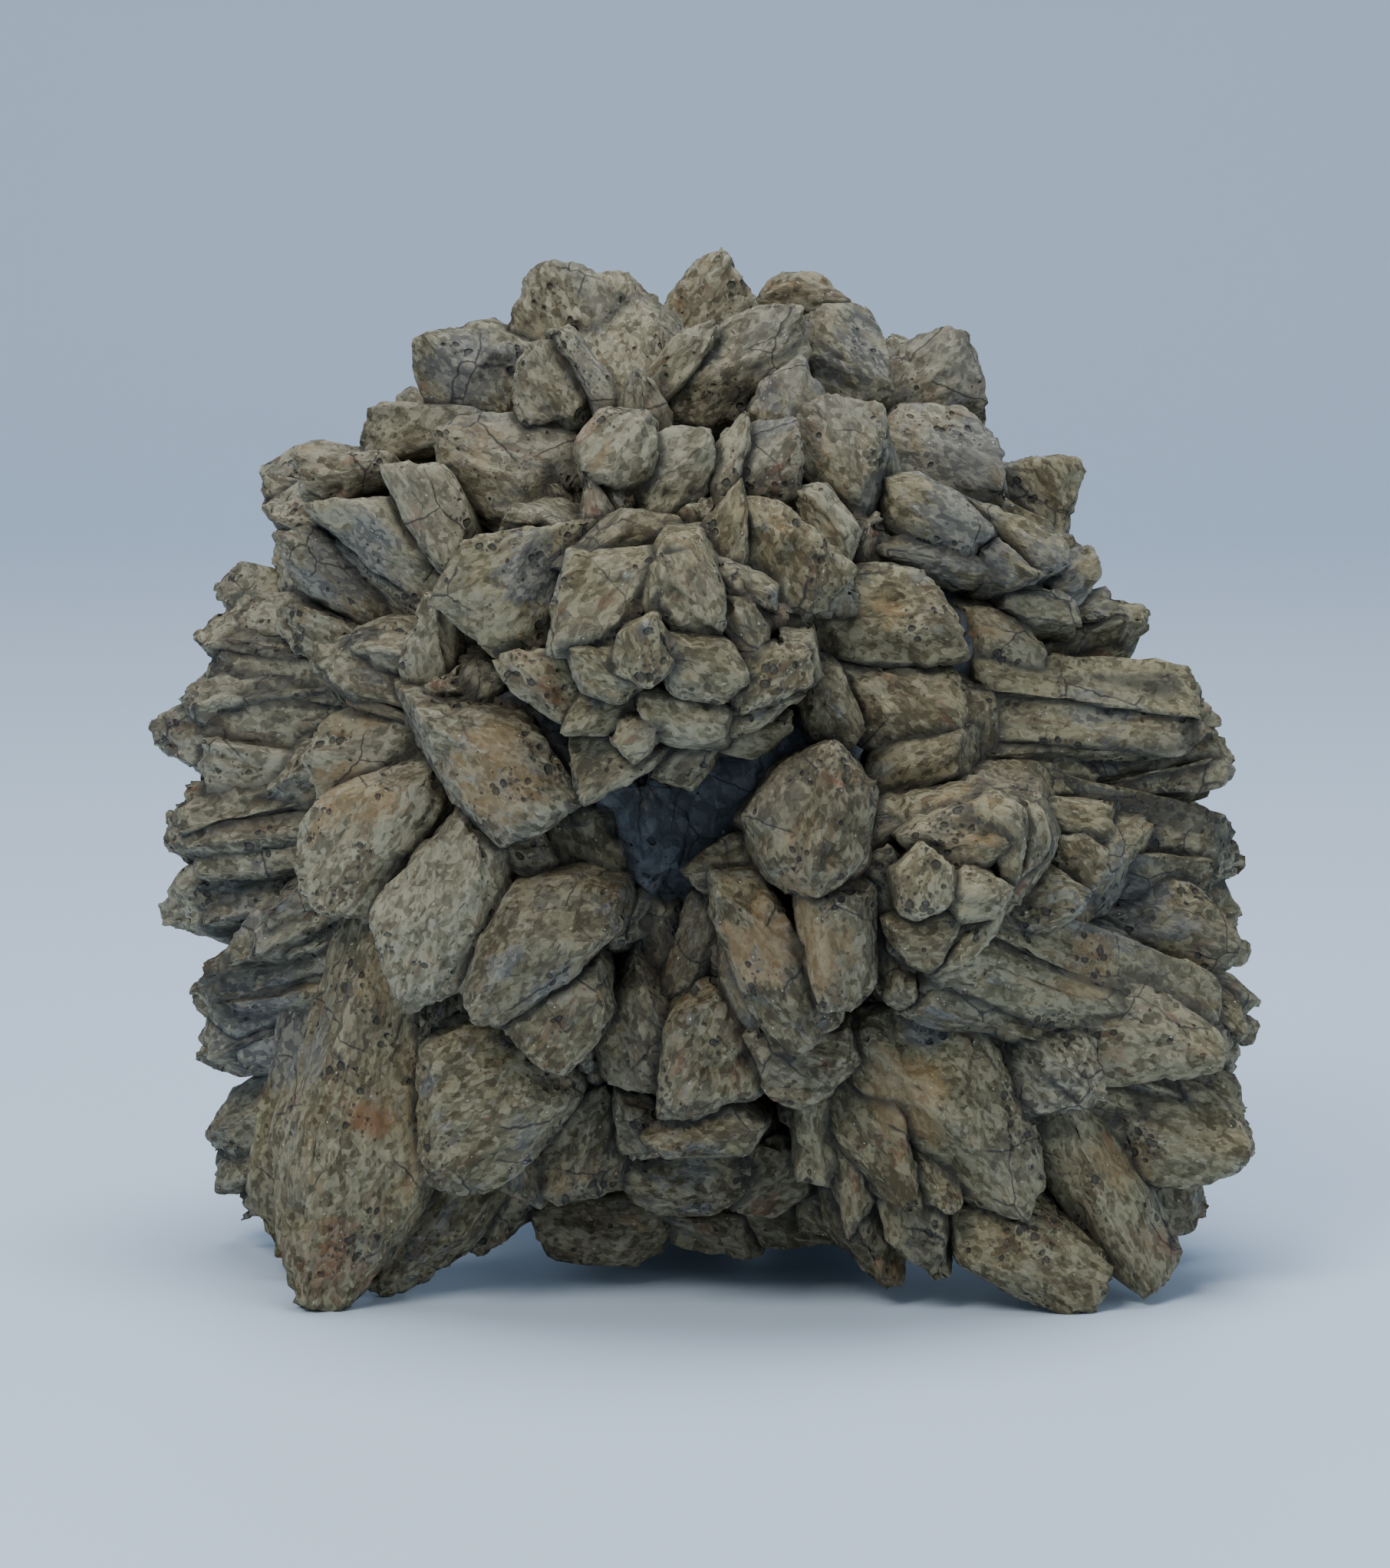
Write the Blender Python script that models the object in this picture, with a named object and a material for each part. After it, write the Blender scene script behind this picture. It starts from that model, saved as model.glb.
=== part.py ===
"""A pineapple calcite: a ball of blunt stone crystals, all grown out of one dark mudstone heart.

Metres, +Z up, front towards -Y. The origin is on the resting surface, under the middle of the ball.
The crystals that the front face shows are set out by hand, and a rule spreads the rest over the
other sides. All of them and the heart are fused into one solid.
"""

import math
import random

import bmesh
import bpy
from mathutils import Matrix, Vector

# Driving dimensions
MM = 0.001
GROWTH_CENTRE = Vector((-0.0004, 0.0077, 0.0585))  # the point that the crystals spread out from
SIGHT_DISTANCE = 0.900  # the tables below are set out as seen from here, so near crystals look larger
SIGHT_TILT = math.radians(7.0)  # and from this far above level
HEART_RADIUS = Vector((0.055, 0.045, 0.052))
HOLLOW_WAY = (-4.0, -1.0, 38.0)  # right, up and reach of the floor of the front hollow, in millimetres
HOLLOW_SPREAD = 0.72  # how wide the hollow is, as an angle from the growth centre
BURIED_LENGTH = 0.012  # how far a crystal runs on inwards from where it shows
FOOT_DEPTH = 0.030  # depth of the block that cuts the lowest tips flat
BALL_RADIUS = Vector((0.069, 0.058, 0.066))  # how far the unseen crystals reach, right, back and up
UNSEEN_PLACES = 150  # evenly spread places for them all round the ball
CRYSTAL_SPACING = math.radians(14.0)  # least angle between one of them and a crystal of the front face
FRONT_LIMIT = 0.30  # how far round to the front they go, as a share of the ball's reach
UNDERSIDE_SHARE = 0.86  # crystals under the ball stop short of the resting surface
UNSEEN_ROOT = 0.64  # where such a crystal comes out of the heart, as a share of its tip's distance
UNSEEN_LEAN = 0.0035  # how far off straight out its root may be, each way
UNSEEN_WIDTH = (0.012, 0.0185)  # slimmest and widest
SEED = 7

# One crystal a row, in millimetres from the growth centre as seen on the front face:
# tip right, tip up, tip reach, root right, root up, root reach, width, thickness, point.
# Reach is the distance towards the viewer. Point is how long the pointed end is, in half widths.

CROWN = (
    (-18.0, 70.3, 4, -15.0, 49, 12, 18, 16, 1.6),
    (-11.5, 69.0, 0, -8.5, 51, 10, 11, 12, 1.8),
    (-21.5, 60.2, 32, -17.5, 47, 26, 12, 9, 2.2),
    (-17.0, 58.5, 34, -12.5, 48, 27, 9, 8, 3.0),
    (-37.9, 58.0, 14, -23.0, 52, 17, 11, 11, 1.4),
    (-35.4, 60.8, 2, -22.0, 57, 6, 8, 9, 1.6),
    (-8.0, 57.5, 36, -6.5, 48, 32, 5, 6, 2.2),
    (3.0, 70.8, -6, -1.5, 54, 6, 14, 13, 2.3),
    (2.5, 63.5, 22, -7.0, 53, 22, 5, 7, 1.9),
    (12.3, 65.0, 22, 0.5, 51, 24, 14, 12, 1.6),
    (12.6, 69.3, -2, 11.5, 57, 6, 11, 11, 1.8),
    (20.8, 66.3, 8, 16.5, 51, 18, 11, 12, 1.8),
    (31.8, 63.0, -6, 28.0, 48, 6, 13.5, 12, 1.6),
    (36.0, 53.5, 16, 27.0, 41, 26, 15, 13, 1.4),
    (25.3, 61.0, -22, 23.5, 50, -10, 7, 8, 2.0),
    (15.5, 55.5, 38, 20.5, 36, 38, 11, 9, 1.6),
)

BROW = (
    (-35.6, 50.0, 32, -16.5, 41, 40, 15, 12, 1.3),
    (-40.0, 43.5, 24, -29.0, 31, 32, 11, 10, 1.6),
    (-10.9, 47.0, 54, -10.0, 44, 36, 9, 9, 1.6),
    (1.0, 48.8, 50, -8.5, 40, 43, 9, 9, 1.8),
    (5.8, 51.0, 48, 2.0, 41, 42, 4, 7, 3.1),
    (11.2, 51.2, 46, 7.0, 38, 44, 8, 9, 2.0),
    (-14.0, 41.8, 54, -13.0, 34, 48, 4.5, 6, 2.3),
    (-12.2, 42.6, 51, -11.0, 37, 46, 3, 5, 2.0),
    (-25.6, 36.0, 50, -17.5, 37, 45, 4.5, 7, 2.0),
    (-48.2, 38.5, 12, -35.0, 27, 24, 12, 11, 1.6),
    (-55.4, 34.0, 4, -38.0, 25, 16, 11, 12, 1.7),
    (-57.7, 43.2, -12, -41.0, 42, 2, 7, 8, 2.3),
    (-56.2, 40.0, -2, -46.5, 35, 8, 8, 9, 1.8),
    (-43.9, 47.5, 0, -36.0, 48, 8, 6, 8, 1.8),
    (-39.4, 51.5, -4, -33.0, 49, 8, 6, 8, 1.8),
)

OVERHANG = (
    (-32.6, 28.5, 58, -17.0, 27, 50, 18, 13, 0.9),
    (-4.0, 37.5, 60, -15.0, 33, 54, 7.5, 9.5, 1.5),
    (-14.4, 22.5, 71, -11.0, 28, 50, 12.5, 15, 0.9),
    (-2.4, 28.0, 72, -1.5, 31, 52, 11.5, 17, 0.9),
    (4.2, 41.8, 60, 1.0, 30, 56, 5.5, 7, 2.3),
    (20.4, 31.5, 56, 6.5, 30, 56, 18, 10, 1.2),
    (5.0, 28.5, 68, 4.5, 31, 52, 6, 6, 1.1),
    (6.2, 22.0, 69, 4.0, 27, 54, 7.5, 7, 1.3),
    (-7.2, 20.0, 74, -6.5, 24, 54, 9, 9.5, 1.0),
    (2.0, 17.0, 73, -1.5, 22, 54, 11, 11, 1.1),
    (9.6, 17.5, 69, 6.0, 21, 52, 8.5, 8.5, 1.2),
    (13.2, 18.0, 64, 12.0, 24, 50, 5.5, 7, 1.2),
    (4.8, 12.2, 67, 1.0, 17, 50, 12, 8, 1.1),
    (-13.2, 17.0, 71, -8.5, 19, 52, 8, 9.5, 1.2),
    (-26.0, 16.5, 60, -14.5, 16, 50, 10.5, 11, 1.2),
    (-16.2, 11.0, 65, -10.0, 15, 50, 8.5, 9.5, 1.4),
    (-9.8, 7.5, 69, -7.0, 15, 50, 6.5, 7, 1.5),
    (-14.6, 1.4, 62, -9.0, 12, 46, 10, 8, 2.1),
    (-3.4, 4.0, 60, -2.5, 12, 44, 8, 8.5, 1.5),
    (8.4, 8.5, 58, 3.5, 13, 44, 7.5, 8.5, 1.3),
    (19.6, 8.5, 52, 12.5, 18, 40, 8.5, 8.5, 1.5),
)

LEFT_FLANK = (
    (-35.0, 28.0, 42, -34.5, 14, 34, 7, 8, 2.4),
    (-31.4, 11.5, 47, -27.0, 18, 34, 7, 8, 2.0),
    (-22.0, -4.0, 58, -32.5, 10, 36, 14.5, 12, 1.1),
    (-51.0, 20.0, 28, -37.5, 16, 30, 12, 11, 1.7),
    (-55.2, 25.0, 14, -45.5, 21, 20, 8, 9, 1.7),
    (-62.6, 28.5, -8, -53.0, 27, 4, 7, 8, 1.8),
    (-65.2, 22.0, -2, -50.0, 20, 12, 9, 10, 1.8),
    (-64.0, 16.5, 2, -50.0, 17, 12, 7, 8, 2.1),
    (-67.6, 13.5, -16, -56.0, 15, -4, 7, 9, 2.7),
    (-71.6, 9.2, 2, -49.0, 9, 14, 17, 13, 2.5),
    (-57.0, 1.0, 16, -48.0, 5, 22, 7, 8, 2.0),
    (-52.6, 6.5, 34, -35.0, 6.5, 36, 12, 11, 1.7),
    (-51.0, -12.0, 42, -32.5, 0, 42, 16.5, 14, 1.4),
    (-70.0, -4.5, 4, -49.0, -2, 16, 13, 12, 1.8),
    (-69.8, -14.5, 0, -50.0, -8, 12, 10, 11, 1.8),
    (-37.9, -27.6, 52, -28.0, -4, 40, 15, 12, 2.2),
    (-61.8, -20.5, 14, -46.0, -12, 22, 10, 10, 2.1),
    (-65.8, -24.8, 4, -48.0, -21, 16, 10, 11, 1.5),
    (-65.4, -32.5, 0, -50.0, -27, 12, 9, 10, 1.5),
    (-63.8, -44.0, -8, -52.0, -38, 4, 8, 10, 1.8),
    (-63.0, -49.5, -10, -52.0, -43, 2, 7, 9, 2.1),
    (-59.2, -53.2, -6, -50.0, -45, 4, 8, 10, 2.1),
)

LEFT_FOOT = (
    (-54.0, -59.2, 14, -50.5, -34, 14, 7.5, 12, 2.4),
    (-50.0, -66.6, 34, -38.0, -17, 30, 20, 15, 2.2),
    (-43.0, -63.5, 26, -27.0, -44, 22, 13, 10, 1.9),
    (-31.4, -58.5, 20, -24.0, -43, 18, 13, 10, 1.6),
    (-32.0, -50.4, 44, -22.0, -27, 34, 19, 13, 1.8),
)

BELOW_HOLLOW = (
    (-26.0, -29.4, 57, -16.5, -15, 40, 12, 11, 1.6),
    (-18.2, -34.6, 54, -15.5, -20, 40, 11.5, 10, 1.6),
    (-7.0, -36.8, 48, -14.0, -12, 32, 13, 11, 1.6),
    (-1.2, -40.0, 50, 2.0, -25, 36, 15, 12, 1.0),
    (-6.2, -27.2, 44, 3.5, -11, 34, 6, 9, 2.2),
    (-2.6, -28.2, 47, 5.5, -12, 36, 6, 9, 2.2),
    (7.2, -29.8, 51, 5.0, -18, 40, 5.5, 8, 2.0),
    (13.2, -31.6, 60, 8.5, -8, 42, 15, 12, 1.4),
    (17.8, -26.0, 62, 17.5, -9, 46, 9, 8, 1.5),
    (15.0, -0.5, 68, 14.0, -4, 38, 15.5, 18, 1.4),
    (-2.2, -8.2, 53, 6.5, -7, 42, 8, 9, 1.6),
    (-14.4, -5.5, 47, -15.5, -4, 28, 8.5, 9, 1.2),
    (-24.4, -6.6, 49, -22.0, -5, 32, 5, 5, 1.4),
    (-22.5, -8.4, 47, -21.0, -15, 38, 4, 5, 2.2),
    (11.4, -39.2, 51, 14.0, -27, 38, 12, 10, 1.5),
)

UNDERSIDE = (
    (-14.6, -59.2, 24, -12.0, -44, 24, 15, 13, 0.6),
    (-19.4, -51.2, 38, -12.0, -36, 34, 9.5, 11, 1.8),
    (-8.4, -44.2, 42, -7.4, -34, 38, 5, 7, 2.0),
    (-5.4, -55.0, 35, 0.0, -41, 30, 14, 12, 1.1),
    (-0.5, -44.5, 47, 1.0, -37, 34, 10, 9, 1.2),
    (2.6, -58.6, 22, 3.0, -46, 22, 11, 11, 1.0),
    (9.6, -52.2, 33, 10.5, -40, 30, 9.5, 9, 1.2),
    (16.6, -57.0, 30, 16.5, -42, 30, 7, 9, 1.6),
    (13.6, -56.6, 23, 13.0, -45, 22, 10, 11, 1.0),
    (16.6, -47.2, 43, 15.5, -36, 40, 4, 7, 2.5),
    (24.6, -62.8, 32, 20.0, -46, 32, 9.5, 10, 2.0),
    (31.2, -61.9, 36, 26.0, -48, 36, 8, 9, 1.8),
)

RIGHT_FLANK = (
    (49.8, 44.2, -10, 37.0, 36, 2, 10, 10, 1.7),
    (47.2, 34.6, 18, 23.0, 40, 34, 14, 13, 2.0),
    (51.6, 30.5, 8, 39.0, 30, 18, 8, 10, 1.9),
    (34.8, 24.5, 46, 16.0, 26, 42, 13, 12, 1.9),
    (34.4, 14.5, 46, 18.0, 16, 40, 11.5, 12, 1.4),
    (42.0, 21.5, 32, 32.0, 22, 34, 12, 12, 1.7),
    (58.2, 24.8, 4, 43.0, 20, 14, 10, 11, 1.9),
    (66.8, 11.5, 10, 44.0, 12, 24, 13, 13, 2.0),
    (68.8, 7.0, 4, 47.0, 4, 20, 10, 11, 1.7),
    (35.6, 1.4, 38, 35.0, 13, 34, 5, 8, 1.9),
    (51.2, 2.0, 24, 37.0, 4, 30, 7, 9, 2.2),
    (22.4, 2.0, 46, 33.0, 7, 34, 7.5, 9, 2.2),
    (29.5, -20.5, 60, 32.0, -5, 36, 22, 17, 0.9),
    (26.1, -25.4, 54, 23.5, -9, 40, 11, 11, 2.0),
    (42.5, -15.5, 40, 48.0, -6, 26, 13, 12, 1.9),
    (70.2, -8.0, 4, 50.0, -4, 20, 13, 12, 2.2),
    (70.0, -15.6, 2, 50.0, -12, 18, 10, 11, 2.0),
    (70.8, -19.0, -4, 50.0, -17, 14, 9, 11, 2.3),
    (71.6, -29.5, 2, 47.0, -19, 26, 11.5, 11, 2.3),
    (69.2, -32.6, 14, 38.0, -21, 44, 17, 13, 1.9),
    (68.9, -38.0, -6, 56.0, -35, 6, 8, 10, 1.9),
    (71.8, -45.0, 14, 51.0, -37, 28, 13, 12, 2.2),
    (66.0, -51.6, 0, 52.0, -46, 14, 7, 10, 1.9),
)

RIGHT_FOOT = (
    (59.0, -64.2, 28, 40.0, -26, 46, 12, 12, 2.0),
    (38.8, -54.2, 50, 25.0, -23, 44, 19, 14, 1.8),
    (49.2, -66.6, 32, 37.5, -43, 34, 13, 12, 1.5),
    (27.8, -53.2, 44, 17.0, -33, 36, 10, 11, 2.4),
    (32.8, -53.4, 42, 28.0, -45, 38, 5.5, 8, 2.1),
)

# The rear feet, which the ball leans back on
REAR_FEET = (
    (-3.0, -56.5, -32, -6.0, -36, -16, 15, 15, 1.3),
    (19.0, -56.0, -32, 14.0, -36, -16, 14, 15, 1.3),
)

SEEN_CRYSTALS = (CROWN + BROW + OVERHANG + LEFT_FLANK + LEFT_FOOT + BELOW_HOLLOW + UNDERSIDE
                 + RIGHT_FLANK + RIGHT_FOOT + REAR_FEET)

# Proportions of one crystal, in half widths
TIP_WIDTH = 0.30  # worn end of the point
END_SLANT = 0.35  # how far off square that worn end may be
NECK_WIDTH = 0.58  # where the steep end faces meet the long ones
NECK_SHARE = 0.30  # how far along the point that is
NECKLESS_WIDTH = 0.0105  # crystals slimmer than this have one set of end faces
TAIL_WIDTH = 0.72  # the buried end
FACE_SCALE = 0.93  # keeps the corners between faces near the stated width
KEPT_SHARE = 0.88  # of the triangles, once the least needed are merged away
FLAT_ANGLE = math.radians(2.0)  # faces that meet flatter than this are one face
FIVE_SIDED_WIDTH = 0.0118  # crystals wider than this have five sides, the others four
SMALLEST_EDGE = 0.0007  # corners closer than this are one corner
BLOCK_SIZE = 0.200  # the block that each crystal is cut from
END_ON = 0.05  # a crystal this nearly in line with the view takes its width to the right

VIEW_RIGHT = Vector((1.0, 0.0, 0.0))
VIEW_UP = Vector((0.0, math.sin(SIGHT_TILT), math.cos(SIGHT_TILT)))
VIEW_REACH = Vector((0.0, -math.cos(SIGHT_TILT), math.sin(SIGHT_TILT)))


def place_seen(right, up, reach):
    """A point of the tables, moved from where it is seen to where it is."""
    nearness = 1.0 - reach * MM / SIGHT_DISTANCE
    on_face = (VIEW_RIGHT * right + VIEW_UP * up) * MM * nearness
    return GROWTH_CENTRE + on_face + VIEW_REACH * reach * MM


def crystal_faces(tip, root, width, thickness, point, sides, rng):
    """The flat faces of one crystal, each as a point on it and its outward direction."""
    axis = (tip - root).normalized()
    across = axis.cross(VIEW_REACH)
    if across.length < END_ON:
        across = VIEW_RIGHT.copy()
    across.normalize()
    through = axis.cross(across)
    length = (tip - root).length + BURIED_LENGTH
    turn = rng.uniform(0.0, math.tau)
    slant = across * rng.uniform(-END_SLANT, END_SLANT) + through * rng.uniform(-END_SLANT, END_SLANT)
    faces = [(tip, (axis + slant).normalized()), (tip - axis * length, -axis)]
    for side in range(sides):
        angle = turn + math.tau * (side + rng.uniform(-0.16, 0.16)) / sides
        outward = across * math.cos(angle) + through * math.sin(angle)
        half = math.hypot(width / 2 * math.cos(angle), thickness / 2 * math.sin(angle))
        half *= FACE_SCALE * rng.uniform(0.94, 1.05)
        reach = width / 2 * point * rng.uniform(0.85, 1.15)
        neck = half * NECK_WIDTH * rng.uniform(0.85, 1.15)
        profile = [(0.0, half * TIP_WIDTH), (reach * NECK_SHARE, neck), (reach, half),
                   (length, half * TAIL_WIDTH)]
        if width < NECKLESS_WIDTH:
            profile.pop(1)
        for (start, start_half), (end, end_half) in zip(profile, profile[1:]):
            slope = math.atan2(end_half - start_half, end - start)
            normal = outward * math.cos(slope) + axis * math.sin(slope)
            faces.append((tip - axis * start + outward * start_half, normal))
    return faces


def cut_crystal(tip, root, faces):
    """One crystal: a block with everything beyond its faces cut away."""
    block = bmesh.new()
    bmesh.ops.create_cube(block, size=BLOCK_SIZE, matrix=Matrix.Translation((tip + root) / 2))
    for point, normal in faces:
        geometry = block.verts[:] + block.edges[:] + block.faces[:]
        cut = bmesh.ops.bisect_plane(block, geom=geometry, plane_co=point, plane_no=normal,
                                     clear_outer=True, dist=1e-7)
        rim = [item for item in cut["geom_cut"] if isinstance(item, bmesh.types.BMEdge)]
        if rim:
            bmesh.ops.contextual_create(block, geom=rim)
    bmesh.ops.remove_doubles(block, verts=block.verts, dist=SMALLEST_EDGE)
    bmesh.ops.delete(block, geom=block.edges[:], context="EDGES_FACES")
    hull = bmesh.ops.convex_hull(block, input=block.verts)
    bmesh.ops.delete(block, geom=hull["geom_interior"] + hull["geom_unused"], context="VERTS")
    return block


def seen_crystals():
    rows = []
    for row in SEEN_CRYSTALS:
        tip = place_seen(*row[0:3])
        root = place_seen(*row[3:6])
        nearness = 1.0 - row[2] * MM / SIGHT_DISTANCE
        rows.append((tip, root, row[6] * MM * nearness, row[7] * MM * nearness, row[8]))
    return rows


def is_free(way, taken):
    """Whether a direction from the growth centre has room for one more crystal."""
    return way.dot(VIEW_REACH) < FRONT_LIMIT and all(way.angle(other) > CRYSTAL_SPACING for other in taken)


def unseen_crystals():
    """Crystals on the sides that the front face hides, spread evenly and pointing straight out."""
    rng = random.Random(SEED)
    golden = math.pi * (3 - math.sqrt(5))
    taken = [tip - GROWTH_CENTRE for tip, *rest in seen_crystals()]
    rows = []
    for index in range(UNSEEN_PLACES):
        height = 1 - 2 * (index + 0.5) / UNSEEN_PLACES
        round_angle = golden * index
        level = math.sqrt(1 - height * height)
        way = Vector((level * math.cos(round_angle), level * math.sin(round_angle), height))
        size = rng.uniform(0.0, 1.0)
        stretch = rng.uniform(0.90, 1.03)
        lean = Vector((rng.uniform(-1, 1), rng.uniform(-1, 1), rng.uniform(-1, 1))) * UNSEEN_LEAN
        if not is_free(way, taken):
            continue
        outer = Vector([part * radius for part, radius in zip(way, BALL_RADIUS)]) * stretch
        if height < -0.5:
            outer *= UNDERSIDE_SHARE
        tip = GROWTH_CENTRE + outer
        root = GROWTH_CENTRE + outer * UNSEEN_ROOT + lean
        width = UNSEEN_WIDTH[0] + (UNSEEN_WIDTH[1] - UNSEEN_WIDTH[0]) * size
        thickness = width * rng.uniform(0.75, 0.95)
        rows.append((tip, root, width, thickness, rng.uniform(1.0, 1.7)))
    return rows


def side_count(width):
    if width > FIVE_SIDED_WIDTH:
        return 5
    return 4


def joined_crystals():
    """All the crystals in one mesh, still overlapping."""
    mesh = bpy.data.meshes.new("crystals")
    whole = bmesh.new()
    for number, (tip, root, width, thickness, point) in enumerate(seen_crystals() + unseen_crystals()):
        rng = random.Random(SEED * 1000 + number)
        faces = crystal_faces(tip, root, width, thickness, point, side_count(width), rng)
        crystal = cut_crystal(tip, root, faces)
        crystal.to_mesh(mesh)
        crystal.free()
        whole.from_mesh(mesh)
    whole.to_mesh(mesh)
    whole.free()
    return mesh


def heart_mesh():
    """The mudstone heart, a rough faceted lump, sunk in where the front hollow shows it."""
    rng = random.Random(SEED + 1)
    hollow = place_seen(*HOLLOW_WAY) - GROWTH_CENTRE
    heart = bmesh.new()
    bmesh.ops.create_icosphere(heart, subdivisions=2, radius=1.0)
    for vertex in heart.verts:
        bump = rng.uniform(0.93, 1.05)
        away = vertex.co.angle(hollow) / HOLLOW_SPREAD
        outer = Vector([part * radius * bump for part, radius in zip(vertex.co, HEART_RADIUS)])
        sunk = hollow.length * bump / outer.length
        fullness = min(1.0, max(0.0, away - 0.3) / 0.7)
        vertex.co = GROWTH_CENTRE + outer * (sunk + (1.0 - sunk) * fullness)
    mesh = bpy.data.meshes.new("crystal_cluster")
    heart.to_mesh(mesh)
    heart.free()
    return mesh


def stone_material():
    material = bpy.data.materials.new("calcite_stone")
    material.use_nodes = True
    shader = material.node_tree.nodes["Principled BSDF"]
    shader.inputs["Base Color"].default_value = (0.235, 0.195, 0.135, 1.0)
    shader.inputs["Roughness"].default_value = 0.82
    shader.inputs["Metallic"].default_value = 0.0
    return material


def add_cutter(name, mesh, collection):
    cutter = bpy.data.objects.new(name, mesh)
    cutter.hide_render = True
    cutter.display_type = "WIRE"
    collection.objects.link(cutter)
    return cutter


def floor_block():
    """A block whose top is the resting surface."""
    block = bmesh.new()
    under = Matrix.Translation((0.0, 0.0, -FOOT_DEPTH / 2)) @ Matrix.Diagonal((0.3, 0.3, FOOT_DEPTH, 1.0))
    bmesh.ops.create_cube(block, size=1.0, matrix=under)
    mesh = bpy.data.meshes.new("floor_block")
    block.to_mesh(mesh)
    block.free()
    return mesh


def island_of(start):
    """All the corners of the closed shell that one corner is on."""
    island = {start}
    waiting = [start]
    while waiting:
        for edge in waiting.pop().link_edges:
            for vertex in edge.verts:
                if vertex not in island:
                    island.add(vertex)
                    waiting.append(vertex)
    return island


def finish_solid(cluster):
    """Keeps the outer skin alone, without the sealed pockets between crystals, and merges flat faces."""
    evaluated = cluster.evaluated_get(bpy.context.evaluated_depsgraph_get())
    fused = bpy.data.meshes.new_from_object(evaluated)
    solid = bmesh.new()
    solid.from_mesh(fused)
    outermost = max(solid.verts, key=lambda vertex: vertex.co.z)
    skin = island_of(outermost)
    pockets = [vertex for vertex in solid.verts if vertex not in skin]
    bmesh.ops.delete(solid, geom=pockets, context="VERTS")
    bmesh.ops.dissolve_limit(solid, angle_limit=FLAT_ANGLE, verts=solid.verts, edges=solid.edges)
    bmesh.ops.triangulate(solid, faces=solid.faces)
    solid.to_mesh(fused)
    solid.free()
    cluster.modifiers.clear()
    cluster.data = fused


def build():
    for old in list(bpy.data.objects):
        bpy.data.objects.remove(old, do_unlink=True)
    stone = bpy.data.collections.new("pineapple_calcite")
    guides = bpy.data.collections.new("pineapple_calcite_cutters")
    bpy.context.scene.collection.children.link(stone)
    bpy.context.scene.collection.children.link(guides)

    cluster = bpy.data.objects.new("crystal_cluster", heart_mesh())
    cluster.data.materials.append(stone_material())
    stone.objects.link(cluster)

    crystals = add_cutter("crystal_shapes", joined_crystals(), guides)
    fuse = cluster.modifiers.new("fuse crystals", "BOOLEAN")
    fuse.operation = "UNION"
    fuse.solver = "EXACT"
    fuse.use_self = True
    fuse.object = crystals

    finish_solid(cluster)
    fewer = cluster.modifiers.new("fewer faces", "DECIMATE")
    fewer.ratio = KEPT_SHARE

    floor = add_cutter("floor_cut", floor_block(), guides)
    feet = cluster.modifiers.new("flat feet", "BOOLEAN")
    feet.operation = "DIFFERENCE"
    feet.solver = "EXACT"
    feet.object = floor


build()
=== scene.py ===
import math
import random

import bmesh
import bpy
import numpy as np
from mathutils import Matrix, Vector


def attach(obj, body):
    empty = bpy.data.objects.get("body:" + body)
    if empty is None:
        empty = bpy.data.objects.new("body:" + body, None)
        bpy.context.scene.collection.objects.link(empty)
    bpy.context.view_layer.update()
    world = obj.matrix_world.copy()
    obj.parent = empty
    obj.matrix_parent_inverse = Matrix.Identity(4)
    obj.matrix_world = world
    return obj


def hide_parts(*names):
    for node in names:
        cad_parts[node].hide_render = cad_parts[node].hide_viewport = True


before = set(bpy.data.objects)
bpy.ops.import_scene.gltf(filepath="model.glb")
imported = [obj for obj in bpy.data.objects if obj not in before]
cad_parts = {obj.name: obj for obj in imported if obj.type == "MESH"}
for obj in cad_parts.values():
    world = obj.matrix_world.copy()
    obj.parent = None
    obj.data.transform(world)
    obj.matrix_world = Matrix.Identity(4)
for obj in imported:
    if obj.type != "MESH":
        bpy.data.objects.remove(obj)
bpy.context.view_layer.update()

mm = 0.001

# The whole ball, the place that its crystals are set out from, and how the photograph looks at it
ball = {
    "centre": (-0.0004, 0.0077, 0.0585),
    "sightDistance": 0.900,
    "sightTilt": 7.0,
    "photoCentre": (914, 1050),     # the growth centre in the photograph
    "photoScale": 10,               # and its pixels in one millimetre there
    "buried": 0.012,                # how far a crystal goes on behind its root
    "reach": (0.069, 0.058, 0.066),
    "seed": 7,
}
growthCentre = Vector(ball["centre"])
sightTilt = math.radians(ball["sightTilt"])
viewRight = Vector((1.0, 0.0, 0.0))
viewUp = Vector((0.0, math.sin(sightTilt), math.cos(sightTilt)))
viewReach = Vector((0.0, -math.cos(sightTilt), math.sin(sightTilt)))

# Proportions of one crystal: its tip, neck and tail in half widths
crystalShape = {
    "tip": 0.30,
    "slant": 0.35,
    "neck": 0.58,
    "neckShare": 0.30,
    "necklessWidth": 0.0105,
    "fiveSidedWidth": 0.0118,
    "tail": 0.72,
    "faceScale": 1.06,
    "turning": 0.16,            # how unevenly the sides stand around it
    "sideScale": (0.94, 1.05),
    "pointScale": (0.85, 1.15),
    "upright": 0.05,            # a crystal closer than this to the line of sight has its own sideways
}

# How the flat faces are worn, and how finely they are laid out
skin = {
    "middle": 0.38,             # where the cells spread from, as a share of the length behind the tip
    "rounding": 0.00012,        # wear on the edges of the slimmest crystal
    "roundingShare": 0.0085,    # and how much it grows with the width
    "swollen": 0.55,            # faces stand this share of the wear further out, so the size stays
    "steps": 7,
    "cellSize": 0.78,
    "fewestCells": 12,
    "mostCells": 31,
    "nearby": 0.008,            # neighbours further away than this leave no grime and no painted shade
    "dirtAndShadeReach": 0.0011,        # how close to a neighbour the grime and painted shade begin
    "deepStart": 0.86,          # share of the ball's reach where the painted shade and grime of the inside begin
    "deepEnd": 0.50,
}
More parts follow.
